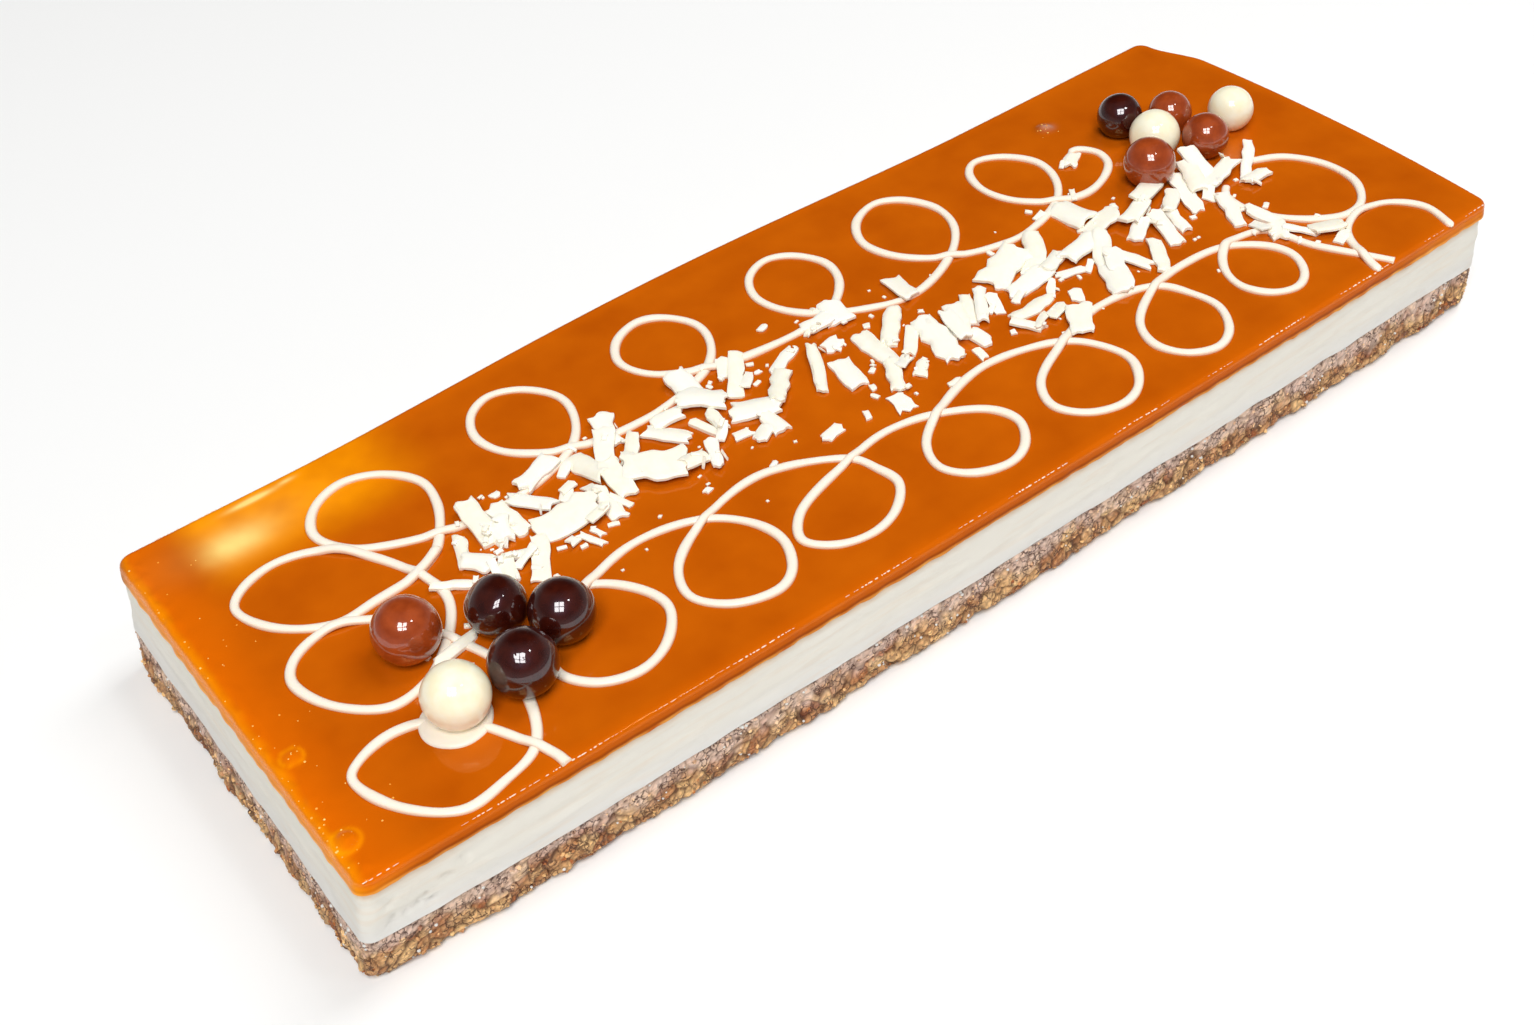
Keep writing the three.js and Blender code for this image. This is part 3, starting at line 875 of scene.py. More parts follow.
@dataclass
class CreamLayer:
    """The cream cheese layer, with knife ripples, small holes and a skirt over the base."""

    plan: CakePlan
    step: float = 0.85
    inset: float = 0.45
    ripple: float = 0.3
    ripple_size: tuple[float, float] = (17.0, 2.6)
    skirt: float = 0.9
    skirt_share: float = 0.16
    skirt_wave: float = 6.5
    hole_zone: tuple[float, float, float, float] = (-166.0, -146.0, 16.0, 25.0)
    hole_count: int = 16
    hole_radius: tuple[float, float] = (0.4, 0.9)
    hole_depth: float = 0.7

    def _holes(self) -> list[tuple[Vector, float]]:
        """Draws the small holes near the front corner of the near end."""
        draw = random.Random(SEED + 1)
        x_low, x_high, z_low, z_high = self.hole_zone
        holes = []
        for _ in range(self.hole_count):
            at = Vector((draw.uniform(x_low, x_high), -60.0, draw.uniform(z_low, z_high)))
            holes.append((at, draw.uniform(*self.hole_radius)))
        return holes

    def build(self, bench: Bench, finish: bpy.types.Material) -> None:
        """Builds the layer."""
        plan = self.plan
        holes = self._holes()
        height = plan.cream_top - plan.base_top
        long, high = self.ripple_size

        def place(round_share: float, up_share: float) -> tuple[Vector, dict[str, float]]:
            """Places one point of the layer's side."""
            edge, out = plan.walk(round_share)
            at = Vector((edge.x, edge.y, plan.base_top + up_share * height))
            streaked = Vector((at.x / long, at.y / long, at.z / high))
            ripple = self.ripple * noise.fractal(streaked, 0.8, 2.0, 3)
            sunk = sum(
                self.hole_depth * hill((at - hole).length, 0, radius, 1) for hole, radius in holes
            )
            hem = 1 - smoothstep(up_share, 0.0, self.skirt_share)
            wave = 0.55 + 0.45 * noise.noise(Vector((at.x, at.y, 0)) / self.skirt_wave)
            drop = hem * self.skirt * max(0.0, wave)
            inset = self.inset - ripple + sunk + 0.25 * (1 - hem)
            point = Vector((edge.x - out.x * inset, edge.y - out.y * inset, at.z - drop))
            return plan.warp(point), {}

        columns = round(plan.perimeter / self.step)
        rows = round(height / self.step)
        bm = wall_mesh(columns, rows, place)
        bench.set_down(bm, "cream_layer", finish, ["cream"], crease=60)


@dataclass(frozen=True)
class Spot:
    """A spot of painted light pooled in the caramel: its middle, its reach and its strength."""

    x: float
    y: float
    reach_x: float
    reach_y: float
    strength: float = 1.0

    def at(self, x: float, y: float) -> float:
        """Returns how bright the spot is at a point of the plan."""
        return self.strength * hill(x - self.x, y - self.y, self.reach_x, self.reach_y)


@dataclass
class GlazeSlab:
    """The poured caramel: a level mirror with a rounded lip, ripples, blisters and a wavy hem."""

    plan: CakePlan
    long_cells: int = 360
    short_cells: int = 150
    edge_fineness: float = 0.3
    lip_radius: float = 1.3
    skirt_rows: int = 8
    hem_waver: float = 0.5
    level_waver: float = 0.05
    lip_waver: float = 0.07
    near_ripples: float = 0.5
    undercut: float = 1.5
    blisters: tuple[tuple[float, float, float, float], ...] = (
        (-165.0, -48.0, 3.6, 1.0),
        (-163.6, -21.0, 3.0, 0.7),
    )
    droplet: tuple[float, float, float, float] = (110.4, 44.8, 3.4, 1.3)
    # Spots of painted light: the brightest at the back of the near end, those round it, and a
    # painted glint on the droplet
    brightest_painted_light: Spot = Spot(-144.5, 46.0, 8.0, 4.0)
    painted_light_spots: tuple[Spot, ...] = (
        Spot(-142.0, 48.0, 17.0, 7.0, 0.12),
        Spot(-134.0, 56.6, 5.0, 0.8, 1.7),
        Spot(-124.5, 57.2, 2.0, 0.6, 0.8),
    )
    painted_glint_spot: Spot = Spot(111.6, 44.8, 1.7, 1.3, 0.5)
    bubble_count: int = 80
    bubble_radius: tuple[float, float] = (0.1, 0.3)
    # The beads along the lip that carry painted glints: their length and thickness, how far in they
    # sit, and their runs: front or back, first and last place along, and least share shown
    bead_length: tuple[float, float] = (0.3, 1.5)
    bead_radius: float = 0.17
    bead_inset: float = 0.55
    least_bead: float = 0.05
    glint_runs: tuple[tuple[int, float, float, float], ...] = (
        (-1, -166.8, 166.5, 0.0),
        (1, -158.0, -151.0, 0.7),
        (1, -148.5, -140.0, 0.9),
    )

    def _graded(self, share: float, half: float) -> float:
        """Spreads the grid's lines from -1 to 1 over a side, closer together near its ends."""
        from_edge = 1 - abs(share)
        fine = self.edge_fineness
        inward = half * (fine * from_edge + (1 - fine) * from_edge**2)
        return math.copysign(half - inward, share)

    def _on_plan(self, x: float, y: float) -> Vector:
        """Bends the corners of the square grid to the plan's round corners."""
        plan = self.plan
        past_x = (abs(x) - plan.core_length) / plan.corner_radius
        past_y = (abs(y) - plan.core_width) / plan.corner_radius
        if past_x > 0 and past_y > 0:
            bent_x = past_x * math.sqrt(1 - past_y**2 / 2)
            bent_y = past_y * math.sqrt(1 - past_x**2 / 2)
            x = math.copysign(plan.core_length + bent_x * plan.corner_radius, x)
            y = math.copysign(plan.core_width + bent_y * plan.corner_radius, y)
        return Vector((x, y, plan.top))

    def _swell(self, x: float, y: float) -> float:
        """Returns how far the top stands above or below its level."""
        level = self.level_waver * noise.noise(Vector((x, y, 0)) / 34)
        inside, _ = self.plan.edge_distance(x, y)
        lip = 1 - smoothstep(inside, 1.0, 4.5)
        level += self.lip_waver * lip * noise.fractal(Vector((x / 2.9, y / 2.9, 6)), 0.9, 2.0, 2)
        near_end = smoothstep(-x, self.plan.half_length - 7, self.plan.half_length - 1)
        wave = noise.fractal(Vector((x / 3.2, y / 4.2, 3)), 0.8, 2.0, 2)
        ripples = self.near_ripples * near_end * wave
        for bx, by, radius, height in (*self.blisters, self.droplet):
            share = min(1.0, math.hypot(x - bx, y - by) / radius)
            level += height * (1 - share**2) ** 2 * (1 + 0.4 * noise.noise(Vector((x, y, 8))))
        return level + ripples

    def _colour_and_painted_light(self, x: float, y: float, drop: float) -> dict[str, float]:
        """Works out thin caramel, painted glow, highlights and shade at a point of the plan and a
        depth under it.
        """
        waver = noise.fractal(Vector((x, y, 0)) / 11, 0.8, 2.0, 3)
        near_end = smoothstep(-x + 2.5 * waver, 150, 168)
        inside, _ = self.plan.edge_distance(x, y)
        rim = 0.35 * (1 - smoothstep(inside, 0.5, 5))
        lump, ring = self._lumps(x, y)
        thin = min(1.0, 0.9 * near_end + rim + 0.4 * lump)
        from_end = self.plan.half_length + x
        # Painted light: a lit rim along the near end, a glow patch at the back of the near end,
        # rings round the blisters and a glow low on the clear sides
        lit_rim = 0.55 * (1 - smoothstep(from_end + 1.2 * waver, 0.2, 3.2))
        back = smoothstep(y, 28, 46) * smoothstep(x, -158, -146) * (1 - smoothstep(x, -118, -88))
        clear = max(near_end, smoothstep(x + 4 * waver, 120, 156))
        painted_glow = back * (0.85 + 0.25 * waver) + lit_rim + 0.12 * lump + 0.4 * ring
        painted_glow += 0.35 * clear * smoothstep(drop, 0.9, 2.2)
        # The pale painted highlight at the heart of the glow, and spots of painted light round it
        core = self.brightest_painted_light.at(x, y) * smoothstep(x, -157, -149) * (1 + 0.4 * waver)
        for spot in self.painted_light_spots:
            core += spot.at(x, y)
        # Thin caramel seeping at the foot of the side is lighter, carried in the painted glow and
        # painted highlight layers
        seeping = 0.5 + 0.9 * noise.noise(Vector((x / 4.3, y / 4.3, 9)))
        seep = smoothstep(drop, 3.1, 3.8) * min(1.0, max(0.0, seeping))
        # Painted shade down the side, darkest in a line near its foot and less where the caramel
        # runs clear; the same layer darkens a line along the back rim and gives the droplet its own
        # redder tint
        side = 0.15 * smoothstep(drop, 0.9, 2.0)
        side += 0.55 * smoothstep(drop, 2.3, 3.0) * (1 - smoothstep(drop, 3.2, 3.7))
        side *= 1 - 0.7 * clear
        side += 0.4 * smoothstep(y, 50, 57) * (1 - smoothstep(inside, 0.2, 1.8))
        bx, by, radius, _ = self.droplet
        wet = hill(x - bx, y - by, radius, radius * 0.8)
        # A painted highlight on the droplet
        painted_glint = self.painted_glint_spot.at(x, y) * (1 + 0.8 * waver)
        return {
            "thin": thin,
            "painted_glow": min(1.0, max(0.0, painted_glow + 0.7 * seep)),
            "core": min(1.0, max(0.0, core + 0.35 * seep)),
            "side": min(1.0, side + 0.4 * wet),
            "painted_glint": max(0.0, painted_glint),
        }

    def _lumps(self, x: float, y: float) -> tuple[float, float]:
        """Returns how far a point lies on a blister, and how far on the ring of painted glow round
        one.
        """
        lump, ring = 0.0, 0.0
        for bx, by, radius, _ in self.blisters:
            away = math.hypot(x - bx, y - by) / radius
            lump = max(lump, 1 - smoothstep(away, 0.8, 1.1))
            ring = max(ring, hill(away - 0.85, 0, 0.16, 1))
        return lump, ring

    def _add_skirt(self, bm: bmesh.types.BMesh) -> None:
        """Draws the rim of the top down over the lip and the side to the wavy hem.

        Args:
            bm: The top, still on the true block.
        """
        plan = self.plan
        rim = [edge for edge in bm.edges if edge.is_boundary]
        for row in range(1, self.skirt_rows + 1):
            made = bmesh.ops.extrude_edge_only(bm, edges=rim)["geom"]
            rim = [item for item in made if isinstance(item, bmesh.types.BMEdge)]
            lower = [item for item in made if isinstance(item, bmesh.types.BMVert)]
            share = row / self.skirt_rows
            for vert in lower:
                _, out = plan.edge_distance(vert.co.x, vert.co.y)
                flat = Vector((vert.co.x, vert.co.y, 0))
                hem = self.hem_waver * max(0.1, 0.25 + noise.fractal(flat / 7, 0.7, 2.0, 3))
                foot = plan.cream_top - hem
                start = plan.top - self.lip_radius
                vert.co.z = blend(start, foot, share)
                bulge = 0.12 * math.sin(math.pi * share) + 0.1 * noise.noise(flat / 4)
                vert.co.x += out.x * (bulge - 0.06) * 0.5
                vert.co.y += out.y * (bulge - 0.06) * 0.5
        made = bmesh.ops.extrude_edge_only(bm, edges=rim)["geom"]
        for vert in (item for item in made if isinstance(item, bmesh.types.BMVert)):
            _, out = plan.edge_distance(vert.co.x, vert.co.y)
            vert.co -= Vector((out.x * self.undercut, out.y * self.undercut, -0.3))

    def build(
        self, bench: Bench, finish: bpy.types.Material, edge_finish: bpy.types.Material
    ) -> None:
        """Builds the slab.

        Args:
            bench: Where the piece goes.
            finish: The mirror of the top and its lip.
            edge_finish: The duller caramel of the sides.
        """
        plan = self.plan
        bm = bmesh.new()
        layers = {name: bm.verts.layers.float.new(name) for name in GLAZE_LAYERS}
        bmesh.ops.create_grid(
            bm, x_segments=self.long_cells, y_segments=self.short_cells, size=1.0
        )
        for vert in bm.verts:
            x = self._graded(vert.co.x, plan.half_length)
            y = self._graded(vert.co.y, plan.half_width)
            point = self._on_plan(x, y)
            inside, _ = plan.edge_distance(point.x, point.y)
            point.z -= self._lip_drop(inside)
            point.z += self._swell(point.x, point.y) * smoothstep(inside, 0.0, 1.2)
            vert.co = point
        self._add_skirt(bm)
        for vert in bm.verts:
            x, y, z = vert.co
            for name, value in self._colour_and_painted_light(x, y, plan.top - z).items():
                vert[layers[name]] = value
            vert.co = plan.warp(vert.co)
        close_mesh(bm, seam=0.002)
        slab = bench.set_down(bm, "glaze_slab", finish, ["glaze"], crease=70)
        slab.data.materials.append(edge_finish)
        lip_foot = (plan.top - self.lip_radius) * MM
        for polygon in slab.data.polygons:
            polygon.material_index = int(polygon.center.z < lip_foot)

    def _lip_drop(self, inside: float) -> float:
        """Returns how far the lip has rounded down, for a distance in from the edge."""
        bend = max(0.0, self.lip_radius - inside)
        return self.lip_radius - math.sqrt(max(0.0, self.lip_radius**2 - bend**2))

    def build_lip_glints(self, bench: Bench, finish: bpy.types.Material) -> None:
        """Builds strings of long pale beads along the lip, front and back: painted glints of light
        on it.
        """
        draw = random.Random(SEED + 6)
        plan = self.plan
        bm = bmesh.new()
        layers = {name: bm.verts.layers.float.new(name) for name in GLAZE_LAYERS}
        for side, x, end, least in self.glint_runs:
            while x < end:
                length = draw.uniform(*self.bead_length)
                shown = max(least, smoothstep(noise.noise(Vector((x / 16, 3, 5))), -0.28, 0.2))
                size = self.bead_radius * shown * draw.uniform(0.6, 1.2)
                inside = self.bead_inset + 0.12 * noise.noise(Vector((x / 7, 8, 1)))
                y = side * (plan.half_width - inside)
                if size > self.least_bead:
                    level = plan.top - self._lip_drop(inside) + self._swell(x, y) + 0.02
                    place = Matrix.Translation(plan.warp(Vector((x, y, level))))
                    matrix = place @ Matrix.Diagonal((length / 2, size, size, 1))
                    made = bmesh.ops.create_icosphere(bm, subdivisions=2, radius=1, matrix=matrix)
                    for vert in made["verts"]:
                        # The painted glint, brighter on the larger beads
                        vert[layers["painted_glint"]] = 0.35 + 0.6 * shown
                x += length * draw.uniform(0.7, 1.6) + 0.3
        bench.set_down(bm, "glaze_lip_painted_glints", finish, [])

    def build_bubbles(self, bench: Bench, finish: bpy.types.Material) -> None:
        """Builds the tiny air bubbles in the lip of the near end and round the blisters, with
        painted glow and painted highlights.
        """
        draw = random.Random(SEED + 2)
        plan = self.plan
        bm = bmesh.new()
        layers = {name: bm.verts.layers.float.new(name) for name in GLAZE_LAYERS}
        for _ in range(self.bubble_count):
            if draw.random() < 0.25:
                bx, by, radius, _ = draw.choice((*self.blisters, self.droplet))
                x = bx + draw.uniform(-1, 1) * radius
                y = by + draw.uniform(-1, 1) * radius
            else:
                x = -plan.half_length + 0.9 + draw.random() ** 4 * 18
                y = draw.uniform(-57, 57)
            size = draw.uniform(*self.bubble_radius)
            inside, _ = plan.edge_distance(x, y)
            level = plan.top - self._lip_drop(inside) + self._swell(x, y)
            point = plan.warp(Vector((x, y, level)))
            matrix = Matrix.Translation(point) @ Matrix.Diagonal((size, size, size * 0.6, 1))
            made = bmesh.ops.create_icosphere(bm, subdivisions=2, radius=1, matrix=matrix)
            pale = draw.uniform(0.1, 0.9)
            for vert in made["verts"]:
                # Painted glow and a pale painted highlight on each bubble
                vert[layers["painted_glow"]] = 0.9
                vert[layers["core"]] = pale
        bench.set_down(bm, "glaze_bubbles", finish, [])


# ---- The drizzle ----


@dataclass(frozen=True)
class Loop:
    """One loop of drizzle.

    It holds the point where the strand crosses itself, how far the loop swells before and after
    that point, how far it reaches, how far its tip leans, and the sag on to the next crossing.
    """

    x: float
    y: float
    before: float
    after: float
    reach: float
    lean: float
    sag: float

    COURSE = (
        (0, 0, 0, 0),
        (0.8, 0, 0, 0.3),
        (0.97, 0, 0, 0.6),
        (0.55, 0, 0.45, 0.9),
        (0, 0, 1, 1),
        (0, 0.65, 0.35, 0.89),
        (0, 1, 0, 0.62),
        (0, 0.8, 0, 0.3),
        (0, 0, 0, 0),
    )

    def points(self, travel: Vector, away: Vector) -> list[Vector]:
        """Follows the strand round the loop.

        Args:
            travel: The way the chain of loops runs.
            away: The way the loops point.

        Returns:
            Points from the crossing round and back to it.
        """
        start = Vector((self.x, self.y))
        route = []
        for after, before, lean, out in self.COURSE:
            forth = after * self.after - before * self.before + lean * self.lean
            route.append(start + travel * forth + away * (out * self.reach))
        return route


def chain(loops: Sequence[Loop], travel: Vector, away: Vector) -> list[Vector]:
    """Joins loops into one strand.

    Args:
        loops: The loops in order.
        travel: The way the chain runs.
        away: The way the loops point.

    Returns:
        The points of the strand.
    """
    route: list[Vector] = []
    for i, loop in enumerate(loops):
        route += loop.points(travel, away)
        if i + 1 < len(loops):
            following = loops[i + 1]
            middle = Vector(((loop.x + following.x) / 2, (loop.y + following.y) / 2))
            route.append(middle - away * loop.sag)
    return route


def through(knots: Sequence[Vector], spacing: float) -> list[Vector]:
    """Runs a centripetal Catmull-Rom curve through knots and spaces points evenly on it.

    Args:
        knots: Points of the plan.
        spacing: About how far apart the points come.

    Returns:
        The evenly spaced points.
    """
    ends = [knots[0] * 2 - knots[1], *knots, knots[-1] * 2 - knots[-2]]
    fine: list[Vector] = []
    pieces = 20
    for i in range(1, len(ends) - 2):
        before, start, end, after = ends[i - 1 : i + 3]
        spans = [max(1e-4, (b - a).length ** 0.5) for a, b in zip(ends[i - 1 :], ends[i : i + 3])]
        first, second, third = spans
        leave = (start - before) / first - (end - before) / (first + second)
        leave = (leave + (end - start) / second) * second
        arrive = (end - start) / second - (after - start) / (second + third)
        arrive = (arrive + (after - end) / third) * second
        for step in range(pieces):
            t = step / pieces
            value = start * (2 * t**3 - 3 * t**2 + 1) + leave * (t**3 - 2 * t**2 + t)
            fine.append(value + end * (3 * t**2 - 2 * t**3) + arrive * (t**3 - t**2))
    fine.append(knots[-1].copy())
    total = sum((b - a).length for a, b in zip(fine, fine[1:]))
    count = max(2, round(total / spacing))
    even, walked, target = [fine[0]], 0.0, total / count
    for a, b in zip(fine, fine[1:]):
        stretch = (b - a).length
        while walked + stretch >= target - 1e-6 and len(even) < count:
            even.append(a.lerp(b, (target - walked) / stretch))
            target += total / count
        walked += stretch
    even.append(fine[-1])
    return even


RIGHT = Vector((1.0, 0.0))
LEFT = Vector((-1.0, 0.0))
TO_BACK = Vector((0.0, 1.0))
TO_FRONT = Vector((0.0, -1.0))

BACK_LOOPS = (
    Loop(-106, 17.5, 22.5, 6, 31.5, -9, 4),
    Loop(-67, 22, 15, 9, 31, -4.5, 4.4),
    Loop(-25, 24.5, 14.5, 9.2, 28, -2, 2.4),
    Loop(11.5, 21.8, 9.3, 13.7, 29.6, 2.3, 7.6),
    Loop(50.3, 19, 12.6, 12.6, 32.8, 1.2, 5.8),
    Loop(87.9, 18.5, 10.4, 9.6, 29.7, -3, 0),
)
FRONT_LOOPS = (
    Loop(-90, -20, 19, 10.3, 29.3, -5.3, 4.3),
    Loop(-57.6, -20, 17, 9.4, 29.5, -1, 6.6),
    Loop(-19.8, -26.3, 25.5, 3, 23.1, -12.2, 2.6),
    Loop(5.6, -27.6, 12, 13, 24.8, 1.2, 6.1),
    Loop(46.8, -27.6, 19, 7.2, 27.1, -5.8, 4),
    Loop(79.3, -26.8, 17.2, 5.4, 27.9, -6.7, 1.8),
    Loop(104.4, -27, 9.5, 10, 24.2, 0, 0),
)
END_LOOPS = (
    Loop(-116.5, 9, 25.5, 1.5, 37, -18, 3.7),
    Loop(-121.5, -13, 20, 10, 32.5, -11, 6),
    Loop(-123.5, -52, 22.6, 5, 33.5, -17.3, 0),
)
BACK_START = ((-116.5, 8.8), (-110, 12.6))
BACK_END = ((96, 15.6), (104.4, 17.6), (111, 22.4), (112.6, 28.2), (109.7, 33), (106.8, 33.5))
END_START = ((-108.7, 13),)
END_END = ((-121.6, -57), (-121.2, -60.2))
FRONT_START = ((-101, -23),)
FRONT_END = ((111.5, -26.7), (117.4, -29.4), (120.9, -41.8), (126.8, -53.5), (130.3, -60.2))
RIGHT_LOOP = (
    (138, -3.5), (147, -9), (152, -19.4), (151, -30), (144.4, -37.4), (137.4, -38.5),
    (130.3, -34.7), (124.4, -27.6), (121, -19), (122, -11), (125.6, -7.6),
)
RIGHT_ARCH = (
    (124.4, -60.4), (126.8, -52.4), (131.5, -44), (139.7, -40), (149, -41.8), (154.6, -50),
    (152.6, -60.4),
)


@dataclass
class Strand:
    """One strand of drizzle: its name and its evenly spaced route."""

    name: str
    route: list[Vector]
    lift: list[float] = field(default_factory=list)


@dataclass
class Drizzle:
    """White chocolate piped in loops: half-round beads that ride over one another."""

    plan: CakePlan
    spacing: float = 0.8
    width: float = 2.3
    width_waver: float = 0.3
    height_share: float = 0.42
    sides: int = 16
    crossing_reach: float = 2.9
    own_clearance: float = 9.0
    sink: float = 0.1
    belly: float = 0.35
    end_taper: float = 1.4

    def strands(self) -> list[Strand]:
        """Lays out the five strands and lifts each where it rides over an earlier one.

        Returns:
            The strands, in the order in which they were piped.
        """
        back = [*map(Vector, BACK_START), *chain(BACK_LOOPS, RIGHT, TO_BACK)]
        back += map(Vector, BACK_END)
        end = [*map(Vector, END_START), *chain(END_LOOPS, TO_FRONT, LEFT)]
        end += map(Vector, END_END)
        front = [*map(Vector, FRONT_START), *chain(FRONT_LOOPS, RIGHT, TO_FRONT)]
        front += map(Vector, FRONT_END)
        knots = {
            "drizzle_back": back,
            "drizzle_end": end,
            "drizzle_front": front,
            "drizzle_ring": [Vector(point) for point in RIGHT_LOOP],
            "drizzle_arch": [Vector(point) for point in RIGHT_ARCH],
        }
        laid: list[tuple[int, int, Vector]] = []
        made = []
        for order, (name, points) in enumerate(knots.items()):
            strand = Strand(name, through(points, self.spacing))
            clear = self.own_clearance / self.spacing
            for i, point in enumerate(strand.route):
                near = [
                    (point - other).length
                    for which, place, other in laid
                    if which != order or i - place > clear
                ]
                closest = min(near, default=math.inf)
                strand.lift.append(1 - smoothstep(closest, 0.6, self.crossing_reach))
                laid.append((order, i, point))
            made.append(strand)
        return made

    def _station(self, strand: Strand, i: int, blunt: bool) -> Matrix:
        """Works out the bead's place, heading and size at one point of a strand.

        Args:
            strand: The strand.
            i: Which point of its route.
            blunt: True if its last end is cut off at the edge of the cake.

        Returns:
            The matrix that carries a flat unit ring there.
        """
        last = len(strand.route) - 1
        point = strand.route[i]
        ahead = strand.route[min(i + 1, last)] - strand.route[max(i - 1, 0)]
        forward = Vector((ahead.x, ahead.y, 0)).normalized()
        across = Vector((-forward.y, forward.x, 0))
        waver = noise.noise(Vector((point.x / 9, point.y / 9, i * self.spacing / 40)))
        width = self.width + self.width_waver * (0.6 + 1.6 * waver)
        to_end = i if blunt else min(i, last - i)
        taper = math.sin(math.pi / 2 * min(1.0, 0.2 + to_end * self.spacing / self.end_taper))
        near = strand.lift[max(0, i - 2) : i + 3]
        height = width * self.height_share
        lift = height * 0.75 * sum(near) / len(near)
        where = Vector((point.x, point.y, self.plan.top + lift - self.sink))
        up = Vector((0, 0, height * taper))
        basis = Matrix((across * (width / 2 * taper), up, forward)).transposed()
        return Matrix.Translation(where) @ basis.to_4x4()

    def _bead(self, strand: Strand, blunt: bool) -> bmesh.types.BMesh:
        """Bends a grid into a half-round bead along a strand.

        Args:
            strand: The strand.
            blunt: True if its last end is cut off at the edge of the cake.

        Returns:
            The closed bead.
        """
        last = len(strand.route) - 1
        stations = [self._station(strand, i, blunt) for i in range(last + 1)]

        def place(round_share: float, along_share: float) -> tuple[Vector, dict[str, float]]:
            """Places one point of the bead, thin at its two edges."""
            angle = 2 * math.pi * round_share
            side, up = math.cos(angle), math.sin(angle)
            crown = up**0.8 if up > 0 else up * self.belly
            # The low flanks take painted shade and bounce light, with some translucency
            sheer_and_painted_shade = 0.8 * smoothstep(abs(side), 0.62, 1.0)
            return stations[round(along_share * last)] @ Vector((side, crown, 0)), {"sheer_and_painted_shade": sheer_and_painted_shade}

        return wall_mesh(self.sides, last, place, ("tone", "sheer_and_painted_shade"))

    def build(self, bench: Bench, finish: bpy.types.Material) -> list[Strand]:
        """Builds each strand as a piece.

        Args:
            bench: Where the pieces go.
            finish: White chocolate.

        Returns:
            The strands, for what comes to lie on them.
        """
        strands = self.strands()
        for strand in strands:
            bm = self._bead(strand, blunt=strand.name in ("drizzle_end", "drizzle_front"))
            bench.set_down(bm, strand.name, finish, ["glaze"], crease=80)
        return strands


@dataclass
class Puddle:
    """The pool of white chocolate round the foot of the near white ball."""

    plan: CakePlan
    x: float = -132.5
    y: float = -34.9
    radius: float = 8.0
    height: float = 1.25

    def build(self, bench: Bench, finish: bpy.types.Material) -> None:
        """Builds the pool from a sphere that is pressed flat, with a thick round rim."""
        bm = bmesh.new()
        tone = bm.verts.layers.float.new("tone")
        bmesh.ops.create_uvsphere(bm, u_segments=56, v_segments=20, radius=1.0)
        for vert in bm.verts:
            angle = math.atan2(vert.co.y, vert.co.x)
            reach = math.hypot(vert.co.x, vert.co.y)
            flat = Vector((math.cos(angle), math.sin(angle), 0))
            radius = self.radius * (1 + 0.06 * noise.noise(flat * 1.3 + Vector((5, 2, 1))))
            spread = reach**0.6
            level = abs(vert.co.z) ** 0.8 * (1 - 0.25 * (1 - spread))
            up = level * self.height if vert.co.z > 0 else -0.2 * level
            vert.co = Vector((self.x, self.y, self.plan.top + up)) + flat * (radius * spread)
            vert[tone] = 0.1
        bmesh.ops.recalc_face_normals(bm, faces=bm.faces)
        bench.set_down(bm, "drizzle_puddle", finish, ["glaze"])


# ---- The flakes ----

